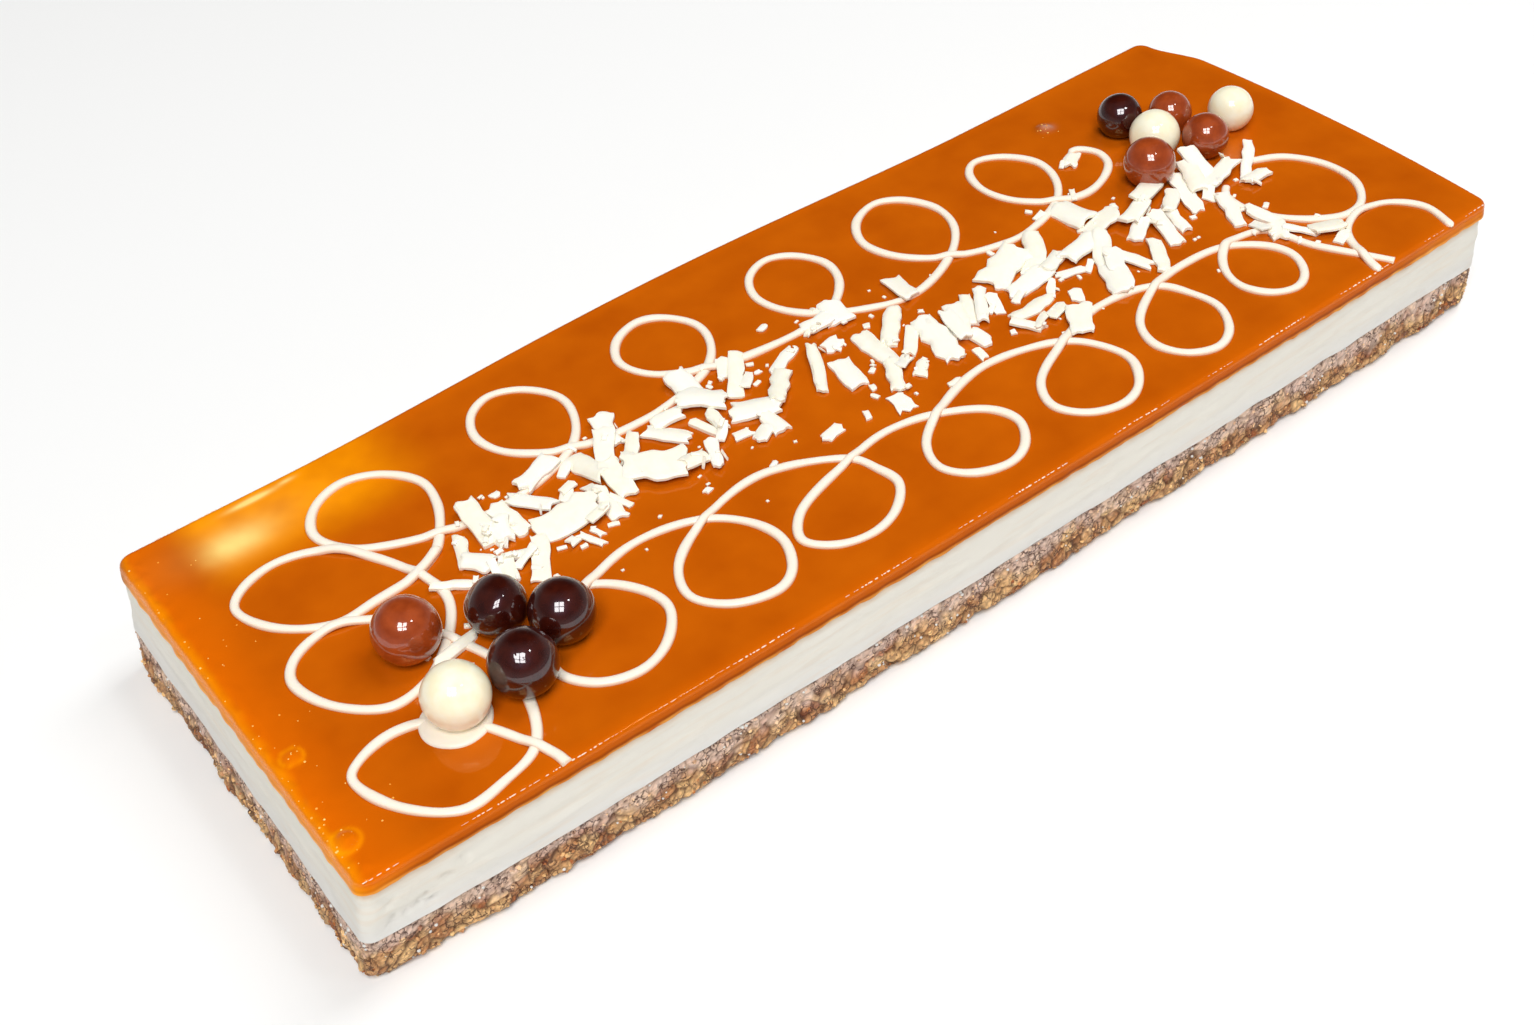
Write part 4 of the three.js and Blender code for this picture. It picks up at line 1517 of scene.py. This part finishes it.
# Large flakes: place, length, width, heading in degrees, and how far the leading end is lifted;
# the order is the one in which they fell, as each lies on those before it
FLAKES = (
    (-111.8, 0.6, 10.5, 2.4, -33, 0), (-104.5, 9.5, 10, 3.4, 72, 0), (-104, 3.2, 8, 5, -52, 1),
    (-96.5, 15.5, 14.5, 5.4, 87, 2), (-94.5, 8.5, 7, 5.6, 80, 1), (-90.6, 11.5, 12, 4.6, 98, 1),
    (-84, 12.5, 12.5, 4, -60, 2), (-80.5, 2.5, 16, 8, -4, 2), (-77.5, 20.4, 11.5, 4.6, 20, 1),
    (-92.5, -5.2, 15, 4, 60, 1), (-95.6, -0.4, 8.5, 2.6, -35, 1), (-100, -3.4, 6.5, 3.5, 75, 0),
    (-70.5, 0.5, 12, 4, 85, 1), (-67, 14, 12.5, 5, -80, 2), (-64.6, 5, 11.5, 5, 87, 1),
    (-56.4, 22, 11.5, 5.6, 75, 1), (-60.4, 16.8, 13, 4.6, 60, 2), (-55.6, 12.6, 11, 3.6, 50, 1),
    (-55.4, 3, 15, 9, -32, 2), (-46.6, 11, 12, 4.6, -53, 0), (-42.4, 16.4, 8, 4.6, -15, 1),
    (-47.2, -2.2, 8, 4.6, 8, 1), (-42.2, -2.8, 9.5, 3, 68, 1), (-37.8, 7, 8.5, 2.4, -76, 0),
    (-34.6, 6.5, 9, 3, 82, 1), (-32.4, 22.5, 12, 6, 88, 2), (-32.6, 15.6, 11, 8, -40, 1),
    (-28.4, -4.2, 7, 4, 28, 0), (-25, -3, 8, 4.4, 95, 0), (-24.6, 4.6, 12, 7, -30, 1),
    (-15.4, 6.8, 13, 4.6, 48, 1), (-20.6, 18, 16, 4, 52, 1), (-8.4, 14.6, 11, 3.2, 27, 0),
    (-4, 6.6, 17, 3.4, 61, 1), (4.8, 11.4, 5.6, 4.6, 10, 0), (0.4, -0.6, 11, 5.4, 78, 0),
    (11.6, 2.4, 14, 5.6, 88, 0), (8.4, -8.4, 11.5, 4, 62, 1), (14.6, -11.2, 6.5, 3.6, 38, 0),
    (20, 7, 14, 4.6, 44, 1), (19.8, -1.2, 11.5, 3.4, 46, 0), (25.4, -5, 18, 6.6, 80, 1),
    (33.6, -3.2, 13.5, 5.4, 62, 1), (38.8, -1.2, 13, 3.6, 58, 0), (42.2, -2, 13.5, 3.2, 53, 1),
    (33, -12.4, 5.4, 3.8, -80, 0), (13, 21, 8.5, 6.6, 80, 1), (7, 20.4, 8, 4.8, -8, 0),
    (32, 17.2, 10.5, 5.4, 81, 0), (57.4, 6.6, 15.5, 8.4, 16, 2), (67.4, 6, 15.5, 5.6, 50, 2),
    (58, -2.6, 14.5, 5.6, 4, 1), (67.4, -1.2, 9.5, 4.4, 24, 1), (51.4, -11.6, 13, 4, 2, 0),
    (45.4, -16.4, 8.5, 2.8, -58, 0), (56, -23.6, 11.5, 6, 52, 0), (77, -1.4, 13.5, 5.4, 12, 2),
    (80.6, -6, 12, 5.4, 55, 1), (74.6, -17.4, 12, 6.8, 62, 1), (83.4, -14.8, 10, 4, -66, 0),
    (89.8, -17.6, 14, 3.6, 57, 0), (87, 12, 11.5, 8, -86, 1), (89.4, 3.8, 13, 6.6, 12, 1),
    (94.6, -5.4, 9.5, 4, 30, 1), (99, 0.4, 10, 5, 22, 2), (107.4, 4.6, 12.5, 5.4, 20, 2),
    (99.4, -10.4, 14, 4.2, 74, 1), (105, -8.4, 12, 3.2, 72, 1), (109, -2.6, 12, 4, 38, 1),
    (115.4, -2.2, 18, 4.6, 66, 1), (121.6, 2, 13, 5, 62, 3), (125.4, 3.4, 12, 5, 82, 3),
    (127.4, -3, 12.5, 4.8, 14, 1), (138.6, -2.2, 16, 3, 40, 2), (134, -9.6, 8, 4.6, 2, 0),
    (118.2, -15.4, 13.5, 4, 63, 1), (121.8, -24, 10.5, 3.2, -78, 0), (119.4, -30.6, 6.5, 5, 60, 1),
    (123.4, -35.2, 9, 2.6, -50, 0), (129.2, -39.2, 9, 5.4, -24, 0), (105, 30.8, 6.4, 3.8, 36, 0),
    (-121.4, -16.6, 12.5, 3, 16, 0),
)

# Small flakes and crumbs of flake: place, length, width, heading
SCRAPS = (
    (-89, 20.5, 2, 2, 0), (-91.8, 21.7, 1, 0.8, 0), (-87.5, 18, 0.8, 0.7, 0),
    (-87, -5.5, 2, 1.2, -20), (-84, -5.5, 3.5, 3, 20), (-80.5, -8, 7, 2, -65),
    (-78, -6.5, 4, 1.7, -75), (-83, -8.3, 1.4, 1.2, 0), (-74, -6.8, 2.6, 1, -20),
    (-75, -3, 6, 3, 10), (-93, -12.5, 1.3, 1.1, 0), (-102.7, -2, 4, 2, 80),
    (-95.5, -3.8, 6, 2, 12), (-76.5, 9, 5, 3, 50), (-75, 10.5, 4, 2.5, 15),
    (-72, 16.5, 4, 2.5, 30), (-71.5, 6, 5, 3, 80), (-68.5, -1.5, 6, 1.7, -65),
    (-37, 1, 6, 2.2, 42), (-32.5, -1.5, 4.5, 3, -10), (-21.5, 22, 7, 3.5, 60),
    (-20, 14, 6, 2.5, 45), (-64.5, -12, 1, 0.8, 40), (-51, -12, 2.4, 1.7, 15),
    (12.5, -7, 6, 3, 30), (44.5, -5, 6, 3, 75), (31, -5, 12, 4, 75), (29, -17, 4.5, 2.5, 80),
    (2.5, 18.5, 2, 1.5, 20), (12, 15.5, 1.3, 1.1, 0), (15.5, 11, 2, 1.7, 60),
    (-4, 28.8, 3, 1.8, 20), (-17, -15.5, 6, 3.5, 10), (-6.5, -16, 3.5, 1.5, 70),
    (2.5, -18, 7.5, 5, 80), (7, -15.2, 1.5, 1.2, 0), (7.2, -18, 1, 0.9, 0),
    (17, -20.8, 3.3, 1.8, 10), (5, -3.8, 1.8, 1.4, 30), (51, -6.5, 4, 2.2, 20),
    (60, -9, 8, 2.2, 45), (49, -17.5, 8, 2.2, 30), (54.5, -17, 6, 3.5, 20),
    (62.5, -15.5, 4.5, 3.5, 60), (69, -7.5, 7, 3, -15), (74, -8.5, 5, 1.8, 35),
    (64.5, -8, 1.4, 1.1, 0), (78.5, -12.5, 9, 5, 55), (93, 17.5, 5.5, 1.3, 55),
    (80, 16.5, 3.5, 2, 10), (119, -7.5, 4, 3, 40), (117, -27, 6, 3, 80), (129, -44, 4, 3, 20),
    (101.5, -19, 1, 0.8, 0), (103, -19, 0.9, 0.7, 0), (-62, 23.3, 0.9, 0.8, 0),
    (-50, -11, 0.8, 0.7, 0), (-73, -19, 0.8, 0.7, 0), (-81, -21, 0.7, 0.6, 0),
    (-43, -24.5, 0.8, 0.6, 0),
)

# Flakes are placed as seen on the photograph's line of sight, which leaves the glaze by this much
# for each millimetre of height
SIGHT = Vector((0.6, 0.92))


class HeightMap:
    """How high things stand above the glaze, cell by cell."""

    def __init__(self, cell: float = 1.0) -> None:
        """Starts with bare glaze."""
        self.cell = cell
        self.heights: dict[tuple[int, int], float] = {}

    def _key(self, point: Vector) -> tuple[int, int]:
        """Returns the cell that holds a point."""
        return (math.floor(point.x / self.cell), math.floor(point.y / self.cell))

    def at(self, point: Vector) -> float:
        """Returns the height at a point."""
        return self.heights.get(self._key(point), 0.0)

    def raise_to(self, point: Vector, height: float) -> None:
        """Raises the height at a point."""
        key = self._key(point)
        self.heights[key] = max(self.heights.get(key, 0.0), height)


@dataclass
class Flake:
    """One torn flake of white chocolate, curled and ragged, that lies on what is below it."""

    x: float
    y: float
    length: float
    width: float
    heading: float
    lift: float
    thickness: float
    raggedness: float
    curl: float
    bow: float
    taper: tuple[float, float]
    offset: Vector
    roll: float = 0.0
    cell: float = 0.6
    rounding: float = 0.3
    jag: float = 1.0
    tear: float = 2.4
    tooth: float = 1.3
    crease_depth: float = 0.06
    highest_head: float = 4.2
    highest_tail: float = 3.4
    give: float = 0.4

    def _torn(self, place: float, step: float, edge: float) -> float:
        """Returns a torn edge's straying, from -1 to 1: straight runs between random corners."""
        knot = math.floor(place / step)
        start, end = (
            noise.cell(self.offset + Vector((each * 1.3 + 0.5, edge * 7.7, 0.5)))
            for each in (knot, knot + 1)
        )
        return blend(start, end, place / step - knot)

    def _half_width(self, along: float, side: float) -> float:
        """Returns the half width at a share of the length, for one of its two sides."""
        end = self.taper[0] if along < 0 else self.taper[1]
        kept = blend(1.0, end, smoothstep(abs(along), 0.55, 1.0))
        torn = self._torn(along * self.length / 2, self.tear, side)
        return self.width / 2 * kept * (1 + self.raggedness * torn)

    def add_to(self, bm: bmesh.types.BMesh, pile: HeightMap, top: float, tone: float) -> None:
        """Adds the flake to a mesh and to the pile.

        Args:
            bm: The mesh, in millimetres.
            pile: What lies on the glaze so far.
            top: Level of the glaze.
            tone: How yellow the flake is.
        """
        turn = Matrix.Rotation(math.radians(self.heading), 2)
        middle = Vector((self.x, self.y)) - SIGHT * (self.lift / 2 + self.thickness)

        def spot(along: float, across: float) -> Vector:
            """Returns the point of the plan under a place on the flake."""
            return middle + turn @ Vector((along * self.length / 2, across * self.width / 2))

        def highest(places: Sequence[float]) -> float:
            """Returns the highest thing under some shares of the length."""
            return max(pile.at(spot(a, b)) for a in places for b in (-0.6, 0.0, 0.6))

        tail, head = highest((-0.9, -0.55)), highest((0.55, 0.9))
        head = min(max(head, self.lift), self.highest_head)
        tail = min(tail, self.highest_tail)
        belly = highest((-0.2, 0.2))
        needed = max(0.0, belly - (head + tail) / 2 - self.give)
        head, tail = head + needed, tail + needed
        cells_long = max(4, round(self.length / self.cell))
        cells_wide = max(4, round(self.width / self.cell))
        made = bmesh.ops.create_grid(bm, x_segments=cells_long, y_segments=cells_wide, size=1.0)
        tones, rims = bm.verts.layers.float["tone"], bm.verts.layers.float["rim"]
        propped = 0.6 * abs(self.roll) * self.width / 2
        for vert in made["verts"]:
            along, across = vert.co.x, vert.co.y
            half = self._half_width(along, math.copysign(1, across))
            jag = self._torn(across * self.width / 2, self.tooth, 3 + math.copysign(1, along))
            reach = self.length / 2 + self.jag * jag * min(1.0, self.width / 3)
            x = along * blend(self.length / 2, reach, abs(along) ** 3)
            y = across * half + self.bow * self.length * (along**2 - 0.4)
            arch = self.curl * self.width * (0.4 - across**2)
            crease = self.crease_depth * noise.noise(Vector((x / 6, y / 0.9, 0)) + self.offset)
            rest = blend(tail, head, (along + 1) / 2) + propped + self.roll * y
            flat = middle + turn @ Vector((x, y))
            vert.co = Vector((flat.x, flat.y, top + max(-0.2, rest + arch) + crease))
            vert[tones] = tone
            vert[rims] = float(vert.is_boundary)
        faces = list(dict.fromkeys(face for vert in made["verts"] for face in vert.link_faces))
        raised = bmesh.ops.extrude_face_region(bm, geom=faces)["geom"]
        for vert in (item for item in raised if isinstance(item, bmesh.types.BMVert)):
            vert.co.z += self.thickness * (1 - self.rounding * vert[rims])
        bmesh.ops.reverse_faces(bm, faces=faces)
        steps = max(3, round(self.length))
        for i in range(steps + 1):
            along = 2 * i / steps - 1
            rest = blend(tail, head, (along + 1) / 2)
            for across in (-0.7, 0.0, 0.7):
                pile.raise_to(spot(along * 0.92, across), rest + self.thickness * 0.9)


@dataclass
class FlakeHeap:
    """The torn flakes along the middle of the cake, and the scraps between them."""

    plan: CakePlan
    thickness: tuple[float, float] = (0.8, 1.3)
    crumb_count: int = 150
    drizzle_height: float = 0.9

    def _crumbs(self, draw: random.Random) -> list[tuple[float, ...]]:
        """Draws the tiny crumbs of flake that lie round the large ones."""
        crumbs = []
        for _ in range(self.crumb_count):
            x, y, length, *_ = draw.choice(FLAKES)
            angle, far = draw.uniform(0, 2 * math.pi), length / 2 + draw.expovariate(0.35)
            size = draw.uniform(0.4, 1.5)
            place = (x + far * math.cos(angle), y + 0.8 * far * math.sin(angle))
            crumbs.append((*place, size * 1.5, size, draw.uniform(0, 180), 0.0, False))
        return crumbs

    def _flakes(self) -> list[Flake]:
        """Gives each row of the tables a thickness, a curl and ragged ends of its own."""
        draw = random.Random(SEED + 3)
        rows = [(*row, True) for row in FLAKES] + [(*row, 0.0, False) for row in SCRAPS]
        flakes = []
        for x, y, length, width, heading, lift, large in rows + self._crumbs(draw):
            thickness = draw.uniform(*self.thickness) * (1 if large else 0.65)
            flakes.append(
                Flake(
                    x, y, length, width, heading, lift,
                    thickness=min(thickness, 0.6 * width),
                    raggedness=draw.uniform(0.08, 0.28),
                    curl=draw.uniform(0.02, 0.16) if large else 0.02,
                    bow=draw.uniform(-0.03, 0.03),
                    taper=(draw.uniform(0.75, 1.15), draw.uniform(0.75, 1.15)),
                    offset=Vector((draw.uniform(0, 90), draw.uniform(0, 90), draw.uniform(0, 90))),
                    roll=draw.uniform(-0.2, 0.2) if large else draw.uniform(-0.1, 0.1),
                )
            )
        return flakes

    def build(
        self, bench: Bench, finish: bpy.types.Material, strands: Sequence[Strand]
    ) -> None:
        """Builds the heap.

        Args:
            bench: Where the piece goes.
            finish: White chocolate.
            strands: The drizzle that some flakes lie on.
        """
        draw = random.Random(SEED + 4)
        pile = HeightMap()
        for strand in strands:
            for point in strand.route:
                pile.raise_to(point, self.drizzle_height)
        bm = bmesh.new()
        for name in ("tone", "rim"):
            bm.verts.layers.float.new(name)
        for flake in self._flakes():
            flake.add_to(bm, pile, self.plan.top, draw.random())
        bench.set_down(bm, "chocolate_flakes", finish, ["glaze"], crease=36)


# ---- The balls ----


@dataclass(frozen=True)
class Ball:
    """One chocolate ball: its kind, place and diameter, its flat side and how scuffed it is.

    A scuff is how far the lacquer strays, in millimetres, and how wide the scuffed cap is, as the
    cosine of its half angle.
    """

    number: int
    kind: Chocolate
    x: float
    y: float
    diameter: float
    flat_side: tuple[float, float, float] = (0.0, 0.0, 0.0)
    flat_depth: float = 0.0
    scuff: float = 0.0
    scuff_cap: float = 0.9

    @property
    def node(self) -> str:
        """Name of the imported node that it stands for."""
        return f"{self.kind.value}_ball_{self.number}"


BALLS = (
    Ball(1, Chocolate.MILK, -129.7, -11.4, 15.4, scuff=0.022, scuff_cap=0.1),
    Ball(2, Chocolate.DARK, -110.8, -17.5, 14.1, (-0.5, 0.2, 0.85), 0.9),
    Ball(3, Chocolate.DARK, -101.1, -28.9, 15.0),
    Ball(4, Chocolate.DARK, -115.6, -36.5, 15.5, scuff=0.06),
    Ball(5, Chocolate.WHITE, -131.1, -34.8, 15.0),
    Ball(6, Chocolate.DARK, 124.2, 31.5, 12.6, scuff=0.03),
    Ball(7, Chocolate.MILK, 135.4, 23.2, 12.2),
    Ball(8, Chocolate.WHITE, 123.4, 17.3, 13.8),
    Ball(9, Chocolate.MILK, 133.3, 7.8, 12.8),
    Ball(10, Chocolate.MILK, 112.3, 8.2, 14.0),
    Ball(11, Chocolate.WHITE, 148.5, 12.8, 12.6),
)


@dataclass
class BallSet:
    """The panned chocolate balls, each a little out of round."""

    plan: CakePlan
    sink: float = 1.0
    unevenness: float = 0.012
    dent_size: float = 1.7
    flat_edge: float = 0.55
    sides: int = 64
    scuffed_sides: int = 160
    scuff_grain: float = 1.1
    scuff_edge: float = 0.09
    scuff_side: tuple[float, float, float] = (-0.369, -0.533, 0.762)
    slots: dict[Chocolate, Slot] = field(
        default_factory=lambda: {
            Chocolate.MILK: Slot.MILK,
            Chocolate.DARK: Slot.DARK,
            Chocolate.WHITE: Slot.WHITE,
        }
    )

    def build(self, bench: Bench, finishes: dict[Chocolate, bpy.types.Material]) -> None:
        """Builds every ball.

        Args:
            bench: Where the pieces go.
            finishes: The material of each kind.
        """
        for ball in BALLS:
            bm = bmesh.new()
            radius = ball.diameter / 2
            centre = Vector((ball.x, ball.y, self.plan.top + radius - self.sink))
            sides = self.scuffed_sides if ball.scuff else self.sides
            bmesh.ops.create_uvsphere(bm, u_segments=sides, v_segments=sides // 2, radius=1.0)
            flat = Vector(ball.flat_side)
            scuffed = Vector(self.scuff_side)
            for vert in bm.verts:
                way = vert.co.normalized()
                dents = noise.noise(way * self.dent_size + Vector((ball.x, ball.y, 0)))
                reach = 1 + self.unevenness * dents
                if ball.flat_depth:
                    facing = way.dot(flat.normalized())
                    reach -= ball.flat_depth / radius * smoothstep(facing, self.flat_edge, 1.0)
                if ball.scuff:
                    edge = ball.scuff_cap + self.scuff_edge
                    cap = smoothstep(way.dot(scuffed), ball.scuff_cap, edge)
                    grain = noise.fractal(way * radius / self.scuff_grain, 0.9, 2.0, 2)
                    reach += ball.scuff / radius * cap * min(0.0, grain)
                vert.co = centre + way * (radius * reach)
            bench.set_down(
                bm,
                f"{ball.node}_polished",
                finishes[ball.kind],
                [ball.node],
            )


# ---- The studio ----


# A window light's panes, and how far they sit from its middle, as shares of its size
PANE_SHARE, PANE_STEP = 0.46, 0.27


@dataclass(frozen=True)
class Softbox:
    """One studio light: where it stands as seen from the cake, its size and its strength.

    Azimuth is the compass way from the cake to the light, 0 along +X and 90 along +Y.
    """

    name: str
    azimuth: float
    elevation: float
    distance: float
    size: tuple[float, float]
    watts: float
    offset: tuple[float, float] = (0.0, 0.0)
    mirrored: bool = True

    def light(self, target: Vector) -> None:
        """Hangs the light, its face square to the way to the target."""
        data = bpy.data.lights.new(self.name, "AREA")
        data.shape = "RECTANGLE"
        data.size, data.size_y = self.size
        data.energy = self.watts
        lamp = bpy.data.objects.new(self.name, data)
        lamp.visible_glossy = self.mirrored
        turn, tilt = math.radians(self.azimuth), math.radians(self.elevation)
        way = Vector(
            (math.cos(turn) * math.cos(tilt), math.sin(turn) * math.cos(tilt), math.sin(tilt))
        )
        facing = way.to_track_quat("Z", "Y")
        lamp.location = target + way * self.distance + facing @ Vector((*self.offset, 0.0))
        lamp.rotation_euler = facing.to_euler()
        bpy.context.scene.collection.objects.link(lamp)


def window(
    name: str, azimuth: float, elevation: float, distance: float, size: float, watts: float
) -> list[Softbox]:
    """Makes a square softbox of four panes, whose bars show in what mirrors it.

    Args:
        name: Name of the light.
        azimuth: The compass way from the cake to it.
        elevation: Its height over the horizon, in degrees.
        distance: How far it stands from the cake.
        size: Its width and height.
        watts: Its whole strength.

    Returns:
        The four panes.
    """
    pane, step = size * PANE_SHARE, size * PANE_STEP
    return [
        Softbox(
            f"{name}_{column}{row}", azimuth, elevation, distance, (pane, pane), watts / 4,
            offset=(column * step, row * step),
        )
        for column in (-1, 1)
        for row in (-1, 1)
    ]


@dataclass
class Studio:
    """Pale paper, soft lights and the camera."""

    plan: CakePlan
    bench: Bench
    floor_size: float = 9.0
    camera_place: tuple[float, float, float] = (-227.39, -307.65, 335.11)
    camera_heading: float = 56.995
    camera_dip: float = 42.151
    camera_roll: float = -6.286
    focal_pixels: float = 1974.8
    sensor: float = 36.0
    dark_card: tuple[float, float, float] = (0.411, 0.633, 0.656)
    boxes: tuple[Softbox, ...] = (
        *window("key", azimuth=-127.0, elevation=57.0, distance=2.6, size=1.3, watts=60.0),
        Softbox("fill", 3.0, 60.0, distance=2.0, size=(0.7, 1.3), watts=16.0, mirrored=False),
        Softbox("sparkle", -60.0, 62.0, distance=1.5, size=(0.12, 0.12), watts=0.9),
    )

    def lay_floor(self) -> None:
        """Lays the paper under the cake."""
        bm = bmesh.new()
        bmesh.ops.create_grid(bm, x_segments=2, y_segments=2, size=self.floor_size / 2)
        mesh = bpy.data.meshes.new("studio_floor")
        bm.to_mesh(mesh)
        bm.free()
        mesh.materials.append(StudioPaper("studio_paper").material())
        floor = bpy.data.objects.new("studio_floor", mesh)
        bpy.context.scene.collection.objects.link(floor)

    def light(self) -> None:
        """Hangs the softboxes and sets the room round them."""
        target = Vector((0.0, 0.0, self.plan.top * MM))
        for box in self.boxes:
            box.light(target)
        world = bpy.data.worlds.new("studio_room")
        world.use_nodes = True
        tree = world.node_tree
        tree.nodes.clear()
        way = add_node(tree, "TexCoord").outputs["Generated"]
        height = add_node(tree, "SeparateXYZ", links={0: way}).outputs["Z"]
        walls = add_node(
            tree,
            "MapRange",
            {"From Min": 0.1, "From Max": 0.42, "To Min": 0.28, "To Max": 0.09},
            {"Value": height},
        )
        towards = add_node(
            tree, "VectorMath", {"operation": "DOT_PRODUCT", 1: self.dark_card}, {0: way}
        )
        card = add_node(
            tree,
            "MapRange",
            {"From Min": 0.74, "From Max": 0.9, "To Min": 1.0, "To Max": 0.1},
            {"Value": towards.outputs["Value"]},
        )
        strength = add_node(
            tree,
            "Math",
            {"operation": "MULTIPLY"},
            {0: walls.outputs[0], 1: card.outputs[0]},
        )
        light = add_node(
            tree, "Background", {"Color": (1, 1, 1, 1)}, {"Strength": strength.outputs[0]}
        )
        add_node(tree, "OutputWorld", links={"Surface": light.outputs[0]})
        bpy.context.scene.world = world

    def set_camera(self) -> None:
        """Sets the camera at the photograph's place, angle and framing."""
        heading, dip = math.radians(self.camera_heading), math.radians(self.camera_dip)
        roll = math.radians(self.camera_roll)
        ahead = Vector(
            (
                math.cos(heading) * math.cos(dip),
                math.sin(heading) * math.cos(dip),
                -math.sin(dip),
            )
        )
        level = ahead.cross(Vector((0, 0, 1))).normalized()
        above = level.cross(ahead)
        right = level * math.cos(roll) + above * math.sin(roll)
        up = above * math.cos(roll) - level * math.sin(roll)
        data = bpy.data.cameras.new("photo_camera")
        data.sensor_fit = "HORIZONTAL"
        data.sensor_width = self.sensor
        data.lens = self.focal_pixels * self.sensor / PHOTO_WIDTH
        data.clip_start, data.clip_end = 0.01, 50.0
        camera = bpy.data.objects.new("photo_camera", data)
        turn = Matrix((right, up, -ahead)).transposed().to_4x4()
        place = (Vector(self.camera_place) + self.bench.shift) * MM
        camera.matrix_world = Matrix.Translation(place) @ turn
        bpy.context.scene.collection.objects.link(camera)
        bpy.context.scene.camera = camera

    def set_colour(self) -> None:
        """Shows colours as they are, without a film look."""
        view = bpy.context.scene.view_settings
        view.view_transform = "Standard"
        view.look = "None"
        view.exposure = 0.0
        view.gamma = 1.0


# ---- The whole cake ----


def level_of(node: str) -> float:
    """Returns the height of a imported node's top, in millimetres."""
    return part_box(node)[1].z / MM


def frame_shift(ball: Ball) -> Vector:
    """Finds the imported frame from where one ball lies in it.

    Args:
        ball: A ball whose place on the plan is known.

    Returns:
        The move from the cake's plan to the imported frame, in millimetres.
    """
    low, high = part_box(ball.node)
    centre = (low + high) / 2 / MM
    return Vector((centre.x - ball.x, centre.y - ball.y, 0.0))


def write_sizes() -> None:
    """Brings the scene up to date; it writes nothing."""
    bpy.context.view_layer.update()


def main() -> None:
    logging.basicConfig(level=logging.INFO, format="%(relativeCreated)d ms %(message)s")
    # The noise that stirs the crumb would start from the clock
    noise.seed_set(SEED)
    plan = CakePlan(base_top=level_of("crumb_base"), cream_top=level_of("cream"))
    bench = Bench(frame_shift(BALLS[4]))
    studio = Studio(plan, bench)
    studio.set_camera()

    crumb = BiscuitCrumb("pressed_biscuit_crumb").material()
    base = CrumbBase(plan)
    base.build_wall(bench, crumb)
    base.build_chips(bench, crumb)

    cream = CreamCheese("set_cream_cheese").material()
    base.build_beads(bench, cream)
    CreamLayer(plan).build(bench, cream)

    caramel = CaramelGlaze("poured_caramel_glaze").material()
    slab = GlazeSlab(plan)
    edge = CaramelGlaze("caramel_glaze_edge", roughness=0.3, gloss=0.06).material()
    slab.build(bench, caramel, edge)
    slab.build_bubbles(bench, caramel)
    slab.build_lip_glints(bench, caramel)

    piped = WhiteChocolate("piped_white_chocolate").material()
    strands = Drizzle(plan).build(bench, piped)
    Puddle(plan).build(bench, piped)
    torn = WhiteChocolate(
        "torn_white_chocolate", ivory="#fefbee", butter="#f8efd6", roughness=0.4
    ).material()
    FlakeHeap(plan).build(bench, torn, strands)

    finishes = {
        Chocolate.MILK: PolishedChocolate("panned_milk_chocolate").material(),
        Chocolate.DARK: PolishedChocolate(
            "panned_dark_chocolate", body="#3f1207", shade="#2d0a05", sheen=0.2, halo="#d3bbe4"
        ).material(),
        Chocolate.WHITE: PolishedChocolate(
            "panned_white_chocolate", body="#fffbe2", shade="#fff5d0", lacquer=0.6
        ).material(),
    }
    BallSet(plan).build(bench, finishes)

    studio.lay_floor()
    studio.light()
    studio.set_colour()
    log.info("%d pieces", len(bench.done))
    write_sizes()


if __name__ == "__main__":
    main()
